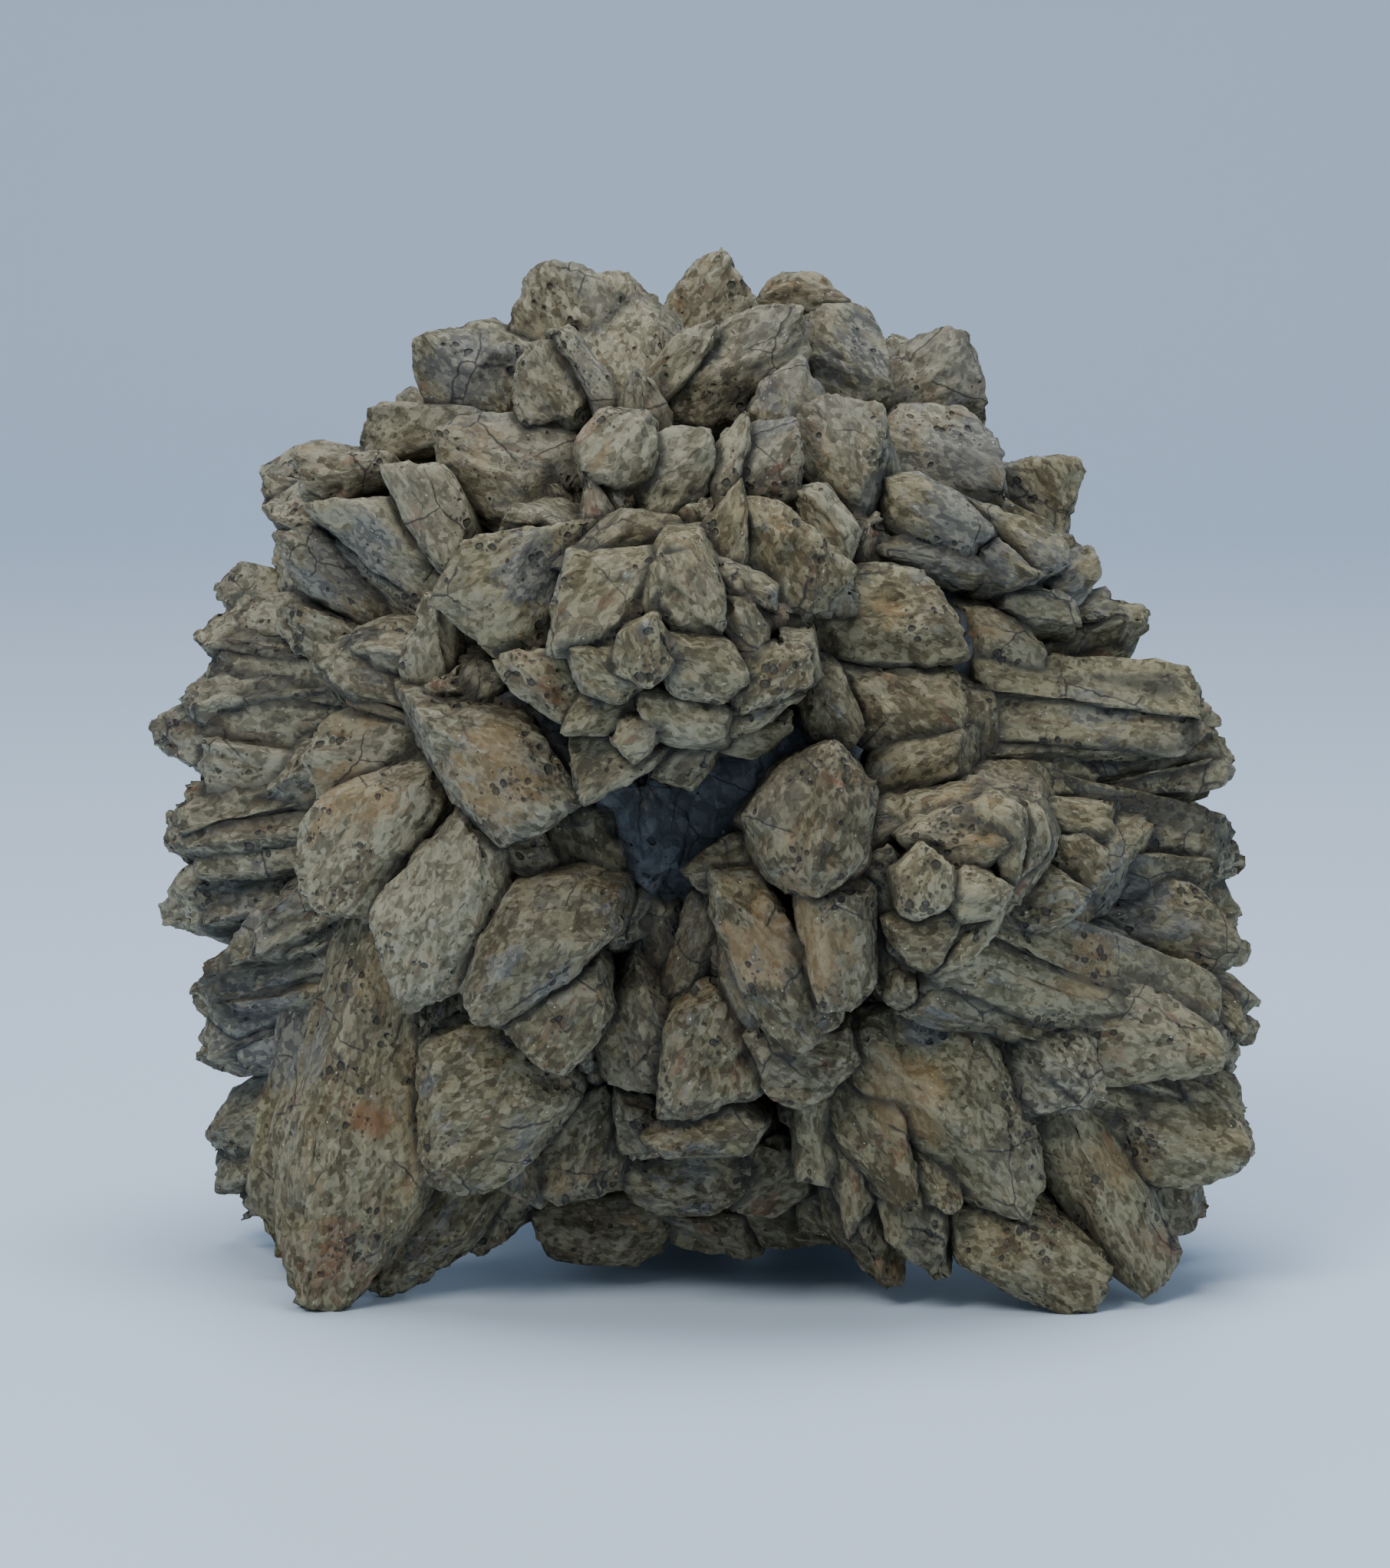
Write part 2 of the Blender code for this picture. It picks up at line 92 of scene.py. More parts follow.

# The lower crystals are a little yellower than calciteLook, and those under the hollow darker: that darker
# copy is painted shade, for the shadow under the overhang
warmLook = {"dark": (0.067, 0.056, 0.031), "middle": (0.143, 0.126, 0.072), "light": (0.262, 0.236, 0.146)}
paintedShadeLook = {"dark": (0.058, 0.048, 0.027), "middle": (0.122, 0.107, 0.062), "light": (0.226, 0.203, 0.127)}

# The crystals, piece by piece. A row is one crystal, in millimetres as seen on the front face:
# tip right, up, reach; root right, up, reach; width, thickness, point length in half widths.
# An outline is what the crystal of that row shows, in the photograph's pixels. The extras are a reach and
# an outline each, and their tones count from 300. A tone is dark at 0 and light at 1.

crown = {
    "piece": "crownCrystals",
    "firstNumber": 0,
    "look": {"greyer": 0.3},
    "rows": [
        (-18.0, 70.3, 10, -15.0, 49, 14, 21, 17, 1.4),
        (-11.5, 69.0, 0, -8.5, 51, 10, 15, 13, 1.8),
        (-21.5, 60.2, 32, -17.5, 47, 26, 12, 9, 2.2),
        (-17.0, 58.5, 34, -12.5, 48, 27, 9, 8, 3.0),
        (-37.9, 58.0, 16, -23.0, 52, 17, 11, 11, 1.4),
        (-35.4, 60.8, 2, -22.0, 57, 6, 8, 9, 1.6),
        (-8.0, 57.5, 36, -6.5, 48, 32, 5, 6, 2.2),
        (3.0, 70.8, 2, -1.5, 54, 8, 14, 13, 2.3),
        (2.5, 63.5, 22, -7.0, 53, 22, 5, 7, 1.9),
        (12.3, 65.0, 26, 0.5, 51, 26, 14, 12, 1.6),
        (12.6, 69.3, -2, 11.5, 57, 6, 11, 11, 1.8),
        (20.8, 66.3, 15, 16.5, 51, 18, 11, 12, 1.8),
        (31.8, 63.0, 2, 28.0, 48, 8, 13.5, 12, 1.6),
        (36.0, 53.5, 16, 27.0, 41, 26, 15, 13, 1.4),
        (25.3, 61.0, -22, 23.5, 50, -10, 7, 8, 2.0),
        (15.5, 55.5, 38, 20.5, 36, 38, 11, 9, 1.6),
    ],
    "outlines": {
        0: [(658, 490), (662, 440), (672, 388), (688, 356), (708, 342), (745, 342), (790, 375), (830, 420),
            (846, 452), (845, 490), (800, 530), (740, 520), (700, 500)],
        2: [(675, 490), (690, 450), (735, 447), (755, 480), (760, 530), (745, 548), (690, 548), (675, 530)],
        3: [(722, 430), (735, 430), (790, 500), (800, 535), (785, 540), (750, 482)],
        4: [(540, 445), (560, 439), (655, 440), (690, 460), (675, 500), (670, 542), (560, 547), (545, 510),
            (533, 480)],
        7: [(848, 455), (850, 417), (890, 365), (910, 336), (940, 328), (964, 342), (978, 390), (985, 402),
            (960, 432), (900, 482), (860, 495)],
        9: [(868, 512), (880, 490), (940, 430), (990, 397), (1010, 391), (1045, 402), (1052, 470),
            (1030, 492), (960, 542), (915, 547), (880, 532)],
        10: [(985, 402), (1010, 362), (1043, 345), (1064, 352), (1096, 395), (1055, 415), (1020, 400)],
        11: [(1048, 422), (1070, 405), (1125, 390), (1146, 430), (1150, 510), (1120, 522), (1060, 502),
            (1045, 470)],
        12: [(1150, 512), (1155, 472), (1190, 437), (1228, 425), (1260, 432), (1274, 490), (1280, 522),
            (1240, 530), (1165, 542)],
        13: [(1150, 560), (1180, 530), (1255, 525), (1290, 560), (1300, 640), (1230, 645), (1160, 620)],
        15: [(1045, 530), (1090, 515), (1140, 530), (1150, 600), (1120, 672), (1060, 642), (1035, 590)],
    },
    "extras": [
        (26, [(795, 532), (845, 490), (858, 470), (852, 540), (820, 545)]),
        (33, [(1000, 500), (1045, 470), (1066, 510), (1055, 560), (1010, 552), (985, 535)]),
    ],
    "tones": {0: 0.35, 2: 0.4, 4: 0.5, 7: 0.45, 9: 0.3, 10: 0.4, 11: 0.5, 12: 0.25},
}

brow = {
    "piece": "browCrystals",
    "firstNumber": 16,
    "look": {"greyer": 0.2},
    "rows": [
        (-35.6, 50.0, 32, -16.5, 41, 40, 15, 12, 1.3),
        (-40.0, 43.5, 24, -29.0, 31, 32, 11, 10, 1.6),
        (-10.9, 47.0, 54, -10.0, 44, 36, 9, 9, 1.6),
        (1.0, 48.8, 50, -8.5, 40, 43, 9, 9, 1.8),
        (5.8, 51.0, 48, 2.0, 41, 42, 4, 7, 3.1),
        (11.2, 51.2, 46, 7.0, 38, 44, 8, 9, 2.0),
        (-14.0, 41.8, 54, -13.0, 34, 48, 4.5, 6, 2.3),
        (-12.2, 42.6, 51, -11.0, 37, 46, 3, 5, 2.0),
        (-25.6, 36.0, 50, -17.5, 37, 45, 4.5, 7, 2.0),
        (-48.2, 38.5, 12, -35.0, 27, 24, 12, 11, 1.6),
        (-55.4, 34.0, 4, -38.0, 25, 16, 11, 12, 1.7),
        (-57.7, 43.2, -12, -41.0, 42, 2, 7, 8, 2.3),
        (-56.2, 40.0, -2, -46.5, 35, 8, 8, 9, 1.8),
        (-43.9, 47.5, 0, -36.0, 48, 8, 6, 8, 1.8),
        (-39.4, 51.5, -4, -33.0, 49, 8, 6, 8, 1.8),
    ],
    "outlines": {
        0: [(560, 560), (600, 545), (700, 548), (755, 575), (765, 640), (740, 682), (650, 690), (590, 650),
            (565, 600)],
        1: [(508, 612), (570, 620), (620, 660), (610, 715), (560, 705), (515, 665)],
        2: [(762, 570), (790, 540), (835, 545), (848, 580), (840, 615), (805, 628), (770, 612)],
        3: [(845, 580), (880, 560), (922, 562), (928, 600), (905, 650), (860, 675), (815, 640), (820, 610)],
        4: [(940, 575), (968, 545), (972, 560), (960, 620), (935, 650), (925, 620)],
        5: [(960, 600), (985, 550), (1030, 540), (1040, 600), (1030, 655), (985, 640), (950, 640)],
        6: [(768, 630), (792, 662), (785, 690), (765, 690)],
        7: [(780, 622), (812, 622), (818, 650), (800, 665)],
        8: [(655, 692), (668, 665), (690, 668), (738, 692), (700, 702)],
    },
    "extras": [
        (46, [(1040, 640), (1075, 636), (1112, 690), (1100, 722), (1060, 692)]),
    ],
}

overhang = {
    "piece": "overhangCrystals",
    "firstNumber": 31,
    "look": warmLook,
    "rows": [
        (-32.6, 28.5, 58, -17.0, 27, 50, 18, 13, 0.9),
        (-4.0, 37.5, 60, -15.0, 33, 54, 7.5, 9.5, 1.5),
        (-14.4, 22.5, 71, -11.0, 28, 50, 12.5, 15, 0.9),
        (-2.4, 28.0, 72, -1.5, 31, 52, 11.5, 17, 0.9),
        (4.2, 41.8, 60, 1.0, 30, 56, 5.5, 7, 2.3),
        (20.4, 31.5, 56, 6.5, 30, 56, 18, 10, 1.2),
        (5.0, 28.5, 68, 4.5, 31, 52, 6, 6, 1.1),
        (6.2, 22.0, 69, 4.0, 27, 54, 7.5, 7, 1.3),
        (-7.2, 20.0, 74, -6.5, 24, 54, 9, 9.5, 1.0),
        (2.0, 17.0, 73, -1.5, 22, 54, 11, 11, 1.1),
        (9.6, 17.5, 69, 6.0, 21, 52, 8.5, 8.5, 1.2),
        (13.2, 18.0, 64, 12.0, 24, 50, 5.5, 7, 1.2),
        (4.8, 12.2, 67, 1.0, 17, 50, 12, 8, 1.1),
        (-13.2, 17.0, 71, -8.5, 19, 52, 8, 9.5, 1.2),
        (-26.0, 16.5, 60, -14.5, 16, 50, 10.5, 11, 1.2),
        (-16.2, 11.0, 65, -10.0, 15, 50, 8.5, 9.5, 1.4),
        (-9.8, 7.5, 69, -7.0, 15, 50, 6.5, 7, 1.5),
        (-14.6, 1.4, 62, -9.0, 12, 46, 10, 8, 2.1),
        (-3.4, 4.0, 60, -2.5, 12, 44, 8, 8.5, 1.5),
        (8.4, 8.5, 58, 3.5, 13, 44, 7.5, 8.5, 1.3),
        (19.6, 8.5, 52, 12.5, 18, 40, 8.5, 8.5, 1.5),
    ],
    "outlines": {
        0: [(612, 706), (760, 688), (722, 846), (650, 850), (562, 784)],
        1: [(742, 730), (808, 668), (882, 676), (884, 692), (852, 738)],
        2: [(745, 732), (852, 728), (842, 815), (795, 848), (722, 842)],
        3: [(850, 740), (872, 702), (905, 700), (938, 770), (932, 824), (880, 816), (846, 795)],
        4: [(962, 630), (966, 690), (958, 750), (924, 746), (910, 695)],
        5: [(968, 652), (1012, 655), (1062, 690), (1120, 738), (1062, 792), (1004, 834), (962, 750)],
        6: [(945, 742), (975, 752), (1002, 768), (1002, 784), (972, 780), (948, 768)],
        7: [(948, 782), (976, 782), (996, 820), (984, 846), (960, 834), (944, 806)],
        8: [(812, 828), (850, 808), (870, 840), (870, 866), (846, 886), (808, 866)],
        9: [(868, 828), (946, 840), (968, 880), (942, 906), (884, 896), (860, 862)],
        10: [(962, 846), (1046, 850), (1054, 884), (1012, 906), (966, 926), (950, 890)],
        11: [(1026, 836), (1052, 840), (1060, 880), (1040, 894), (1024, 870)],
        12: [(936, 922), (1022, 898), (1034, 906), (1002, 930), (962, 950), (938, 946)],
        13: [(745, 848), (806, 842), (838, 884), (802, 904), (762, 892)],
        14: [(654, 862), (690, 850), (746, 858), (770, 896), (746, 942), (700, 914), (666, 890)],
        15: [(766, 898), (828, 902), (838, 948), (744, 946)],
        16: [(820, 940), (852, 946), (846, 968), (826, 984), (808, 966)],
        17: [(750, 955), (802, 946), (862, 975), (842, 1004), (792, 1026), (766, 1044), (754, 1020)],
        18: [(850, 958), (936, 950), (926, 986), (896, 1020), (862, 1010)],
        19: [(926, 955), (970, 948), (1018, 922), (1024, 944), (982, 980), (936, 970)],
        20: [(1062, 868), (1090, 878), (1120, 946), (1102, 968), (1060, 948), (1042, 905)],
    },
    "extras": [
        (70, [(838, 902), (882, 896), (944, 928), (938, 954), (896, 960), (850, 950)]),
    ],
    "tones": {0: 0.8, 2: 0.7, 3: 0.6, 5: 0.45, 20: 0.2},
}

leftFlank = {
    "piece": "leftFlankCrystals",
    "firstNumber": 52,
    "look": {},
    "rows": [
        (-35.0, 28.0, 42, -34.5, 14, 34, 7, 8, 2.4),
        (-31.4, 11.5, 47, -27.0, 18, 34, 7, 8, 2.0),
        (-22.0, -4.0, 58, -32.5, 10, 36, 14.5, 12, 1.1),
        (-51.0, 20.0, 28, -37.5, 16, 30, 12, 11, 1.7),
        (-55.2, 25.0, 14, -45.5, 21, 20, 8, 9, 1.7),
        (-62.6, 28.5, -8, -53.0, 27, 4, 7, 8, 1.8),
        (-65.2, 22.0, -2, -50.0, 20, 12, 9, 10, 1.8),
        (-64.0, 16.5, 2, -50.0, 17, 12, 7, 8, 2.1),
        (-67.6, 13.5, -16, -56.0, 15, -4, 7, 9, 2.7),
        (-71.6, 9.2, 2, -49.0, 9, 14, 17, 13, 2.5),
        (-57.0, 1.0, 16, -48.0, 5, 22, 7, 8, 2.0),
        (-52.6, 6.5, 34, -35.0, 6.5, 36, 12, 11, 1.7),
        (-51.0, -12.0, 42, -32.5, 0, 42, 16.5, 14, 1.4),
        (-70.0, -4.5, 4, -49.0, -2, 16, 13, 12, 1.8),
        (-69.8, -14.5, 0, -50.0, -8, 12, 10, 11, 1.8),
        (-37.9, -27.6, 52, -28.0, -4, 40, 15, 12, 2.2),
        (-61.8, -20.5, 14, -46.0, -12, 22, 10, 10, 2.1),
        (-65.8, -24.8, 4, -48.0, -21, 16, 10, 11, 1.5),
        (-65.4, -32.5, 0, -50.0, -27, 12, 9, 10, 1.5),
        (-63.8, -44.0, -8, -52.0, -38, 4, 8, 10, 1.8),
        (-63.0, -49.5, -10, -52.0, -43, 2, 7, 9, 2.1),
        (-59.2, -53.2, -6, -50.0, -45, 4, 8, 10, 2.1),
    ],
    "outlines": {
        1: [(590, 935), (600, 895), (625, 868), (652, 880), (645, 915), (615, 942)],
        2: [(556, 932), (640, 938), (692, 950), (724, 1000), (750, 1042), (700, 1078), (656, 1096),
            (618, 1060), (574, 985)],
        11: [(419, 945), (490, 918), (547, 930), (572, 981), (557, 1007), (480, 1042), (409, 1042),
            (393, 981)],
        12: [(580, 993), (602, 1045), (545, 1135), (494, 1198), (408, 1186), (386, 1146), (390, 1086),
            (418, 1050), (508, 1012)],
        15: [(608, 1065), (656, 1095), (673, 1155), (668, 1212), (630, 1268), (528, 1320), (500, 1256),
            (490, 1205), (506, 1176), (546, 1130)],
    },
    "extras": [
        (4, [(345, 605), (385, 602), (400, 640), (440, 655), (400, 680), (365, 670), (345, 640)]),
        (18, [(388, 600), (500, 598), (502, 622), (450, 642), (400, 640)]),
        (36, [(505, 612), (570, 612), (600, 660), (608, 690), (585, 740), (560, 720), (530, 670)]),
        (33, [(405, 660), (440, 655), (515, 655), (540, 700), (580, 758), (550, 780), (500, 740),
              (450, 700)]),
        (26, [(360, 700), (400, 690), (450, 722), (500, 770), (530, 800), (505, 830), (450, 800),
              (385, 760)]),
    ],
    "tones": {2: 0.35, 12: 0.7, 15: 0.85, 304: 0.1},
}

leftFoot = {
    "piece": "leftFootCrystals",
    "firstNumber": 74,
    "look": dict(warmLook, streaks=0.7),
    "rows": [
        (-54.0, -59.2, 14, -50.5, -34, 14, 7.5, 12, 2.4),
        (-50.0, -66.6, 34, -38.0, -17, 30, 20, 15, 2.2),
        (-43.0, -63.5, 26, -27.0, -44, 22, 13, 10, 1.9),
        (-31.4, -58.5, 20, -24.0, -43, 18, 13, 10, 1.6),
        (-32.0, -50.4, 44, -22.0, -27, 34, 19, 13, 1.8),
    ],
    "outlines": {
        4: [(560, 1360), (612, 1330), (668, 1345), (745, 1402), (748, 1428), (705, 1492), (640, 1550),
            (590, 1556), (555, 1530), (548, 1430)],
    },
    "tones": {0: 0.4, 1: 0.45, 2: 0.45, 4: 0.4},
}

belowHollow = {
    "piece": "belowHollowCrystals",
    "firstNumber": 79,
    # painted shade: the darker copy of the lower crystals' colour
    "look": paintedShadeLook,
    "rows": [
        (-26.0, -29.4, 57, -16.5, -15, 40, 12, 11, 1.6),
        (-18.2, -34.6, 54, -15.5, -20, 40, 11.5, 10, 1.6),
        (-7.0, -36.8, 48, -14.0, -12, 32, 13, 11, 1.6),
        (-1.2, -40.0, 50, 2.0, -25, 36, 15, 12, 1.0),
        (-6.2, -27.2, 44, 3.5, -11, 34, 6, 9, 2.2),
        (-2.6, -28.2, 47, 5.5, -12, 36, 6, 9, 2.2),
        (7.2, -29.8, 51, 5.0, -18, 40, 5.5, 8, 2.0),
        (13.2, -31.6, 60, 8.5, -8, 42, 15, 12, 1.4),
        (17.8, -26.0, 62, 17.5, -9, 46, 9, 8, 1.5),
        (15.0, -0.5, 68, 14.0, -4, 38, 15.5, 18, 1.4),
        (-2.2, -8.2, 53, 6.5, -7, 42, 8, 9, 1.6),
        (-14.4, -5.5, 47, -15.5, -4, 28, 8.5, 9, 1.2),
        (-24.4, -6.6, 49, -22.0, -5, 32, 5, 5, 1.4),
        (-22.5, -8.4, 47, -21.0, -15, 38, 4, 5, 2.2),
        (11.4, -39.2, 51, 14.0, -27, 38, 12, 10, 1.5),
    ],
    "outlines": {
        0: [(672, 1160), (760, 1150), (800, 1165), (800, 1232), (715, 1290), (664, 1340), (623, 1324),
            (608, 1293), (640, 1215)],
        1: [(775, 1262), (790, 1318), (782, 1342), (736, 1394), (695, 1378), (660, 1338), (715, 1284)],
        2: [(800, 1180), (835, 1240), (868, 1300), (882, 1345), (870, 1424), (800, 1412), (754, 1386),
            (782, 1335), (765, 1250)],
        3: [(905, 1300), (935, 1288), (962, 1305), (992, 1395), (988, 1422), (900, 1454), (866, 1452),
            (866, 1395), (876, 1330)],
        4: [(806, 1150), (852, 1150), (885, 1185), (885, 1225), (858, 1270), (832, 1300), (815, 1240)],
        5: [(900, 1165), (950, 1165), (952, 1245), (905, 1292), (858, 1302), (862, 1262), (885, 1215)],
        6: [(948, 1200), (1005, 1300), (1014, 1342), (990, 1354), (965, 1325), (945, 1270)],
        7: [(938, 1150), (1015, 1146), (1055, 1190), (1082, 1295), (1105, 1330), (1037, 1366), (1005, 1340),
            (975, 1285), (938, 1195)],
        8: [(1045, 1158), (1085, 1146), (1130, 1160), (1132, 1280), (1106, 1312), (1075, 1312),
            (1050, 1230)],
        9: [(1085, 973), (1130, 1027), (1122, 1118), (1063, 1160), (1005, 1128), (978, 1062), (1022, 1005)],
        10: [(895, 1135), (945, 1095), (975, 1090), (1000, 1130), (960, 1165), (920, 1160)],
        11: [(722, 1065), (770, 1052), (815, 1060), (820, 1120), (795, 1155), (745, 1135), (722, 1100)],
        12: [(660, 1098), (700, 1090), (714, 1120), (688, 1137), (663, 1125)],
        13: [(675, 1140), (715, 1118), (724, 1150), (700, 1190), (680, 1170)],
        14: [(985, 1352), (1100, 1342), (1110, 1385), (1075, 1425), (1030, 1440), (1005, 1420)],
    },
    "extras": [
        (44, [(690, 1095), (770, 1110), (806, 1160), (800, 1235), (760, 1262), (700, 1230), (672, 1190),
              (672, 1130)]),
    ],
    "tones": {0: 0.3, 1: 0.45, 2: 0.15, 3: 0.4, 4: 0.2, 5: 0.25, 6: 0.35, 7: 0.3, 8: 0.5,
              9: 0.12, 10: 0.2, 11: 0.2, 14: 0.45, 300: 0.15},
}

underside = {
    "piece": "undersideCrystals",
    "firstNumber": 94,
    # painted shade: the darker copy of the lower crystals' colour
    "look": paintedShadeLook,
    "rows": [
        (-14.6, -59.2, 24, -12.0, -44, 24, 15, 13, 0.6),
        (-19.4, -51.2, 38, -12.0, -36, 34, 9.5, 11, 1.8),
        (-8.4, -44.2, 42, -7.4, -34, 38, 5, 7, 2.0),
        (-5.4, -55.0, 35, 0.0, -41, 30, 14, 12, 1.1),
        (-0.5, -44.5, 47, 1.0, -37, 34, 10, 9, 1.2),
        (2.6, -58.6, 22, 3.0, -46, 22, 11, 11, 1.0),
        (9.6, -52.2, 33, 10.5, -40, 30, 9.5, 9, 1.2),
        (16.6, -57.0, 30, 16.5, -42, 30, 7, 9, 1.6),
        (13.6, -56.6, 23, 13.0, -45, 22, 10, 11, 1.0),
        (16.6, -47.2, 43, 15.5, -36, 40, 4, 7, 2.5),
        (24.6, -62.8, 32, 20.0, -46, 32, 9.5, 10, 2.0),
        (31.2, -61.9, 36, 26.0, -48, 36, 8, 9, 1.8),
    ],
    "outlines": {
        0: [(695, 1575), (860, 1565), (872, 1600), (845, 1642), (720, 1642)],
        1: [(735, 1440), (795, 1415), (822, 1440), (815, 1500), (815, 1548), (725, 1570), (702, 1560),
            (705, 1515)],
        2: [(812, 1422), (856, 1448), (868, 1490), (815, 1500)],
        3: [(806, 1505), (850, 1492), (962, 1498), (978, 1545), (940, 1575), (860, 1582), (825, 1560)],
        4: [(850, 1485), (878, 1450), (945, 1438), (985, 1470), (965, 1502), (870, 1504)],
        5: [(862, 1570), (990, 1575), (988, 1634), (930, 1632), (880, 1622)],
        6: [(962, 1492), (1058, 1490), (1056, 1548), (1010, 1582), (962, 1575)],
        7: [(1048, 1535), (1085, 1530), (1112, 1570), (1102, 1615), (1050, 1612)],
        8: [(980, 1575), (1062, 1570), (1092, 1618), (1000, 1622)],
        9: [(1050, 1425), (1088, 1435), (1094, 1500), (1078, 1540), (1048, 1535)],
    },
    "extras": [
        (34, [(690, 1500), (715, 1520), (700, 1565), (655, 1545)]),
        (42, [(1085, 1440), (1105, 1480), (1140, 1560), (1110, 1600), (1090, 1530)]),
    ],
    "tones": {0: 0.3, 1: 0.3, 3: 0.2, 4: 0.3, 300: 0.3},
}

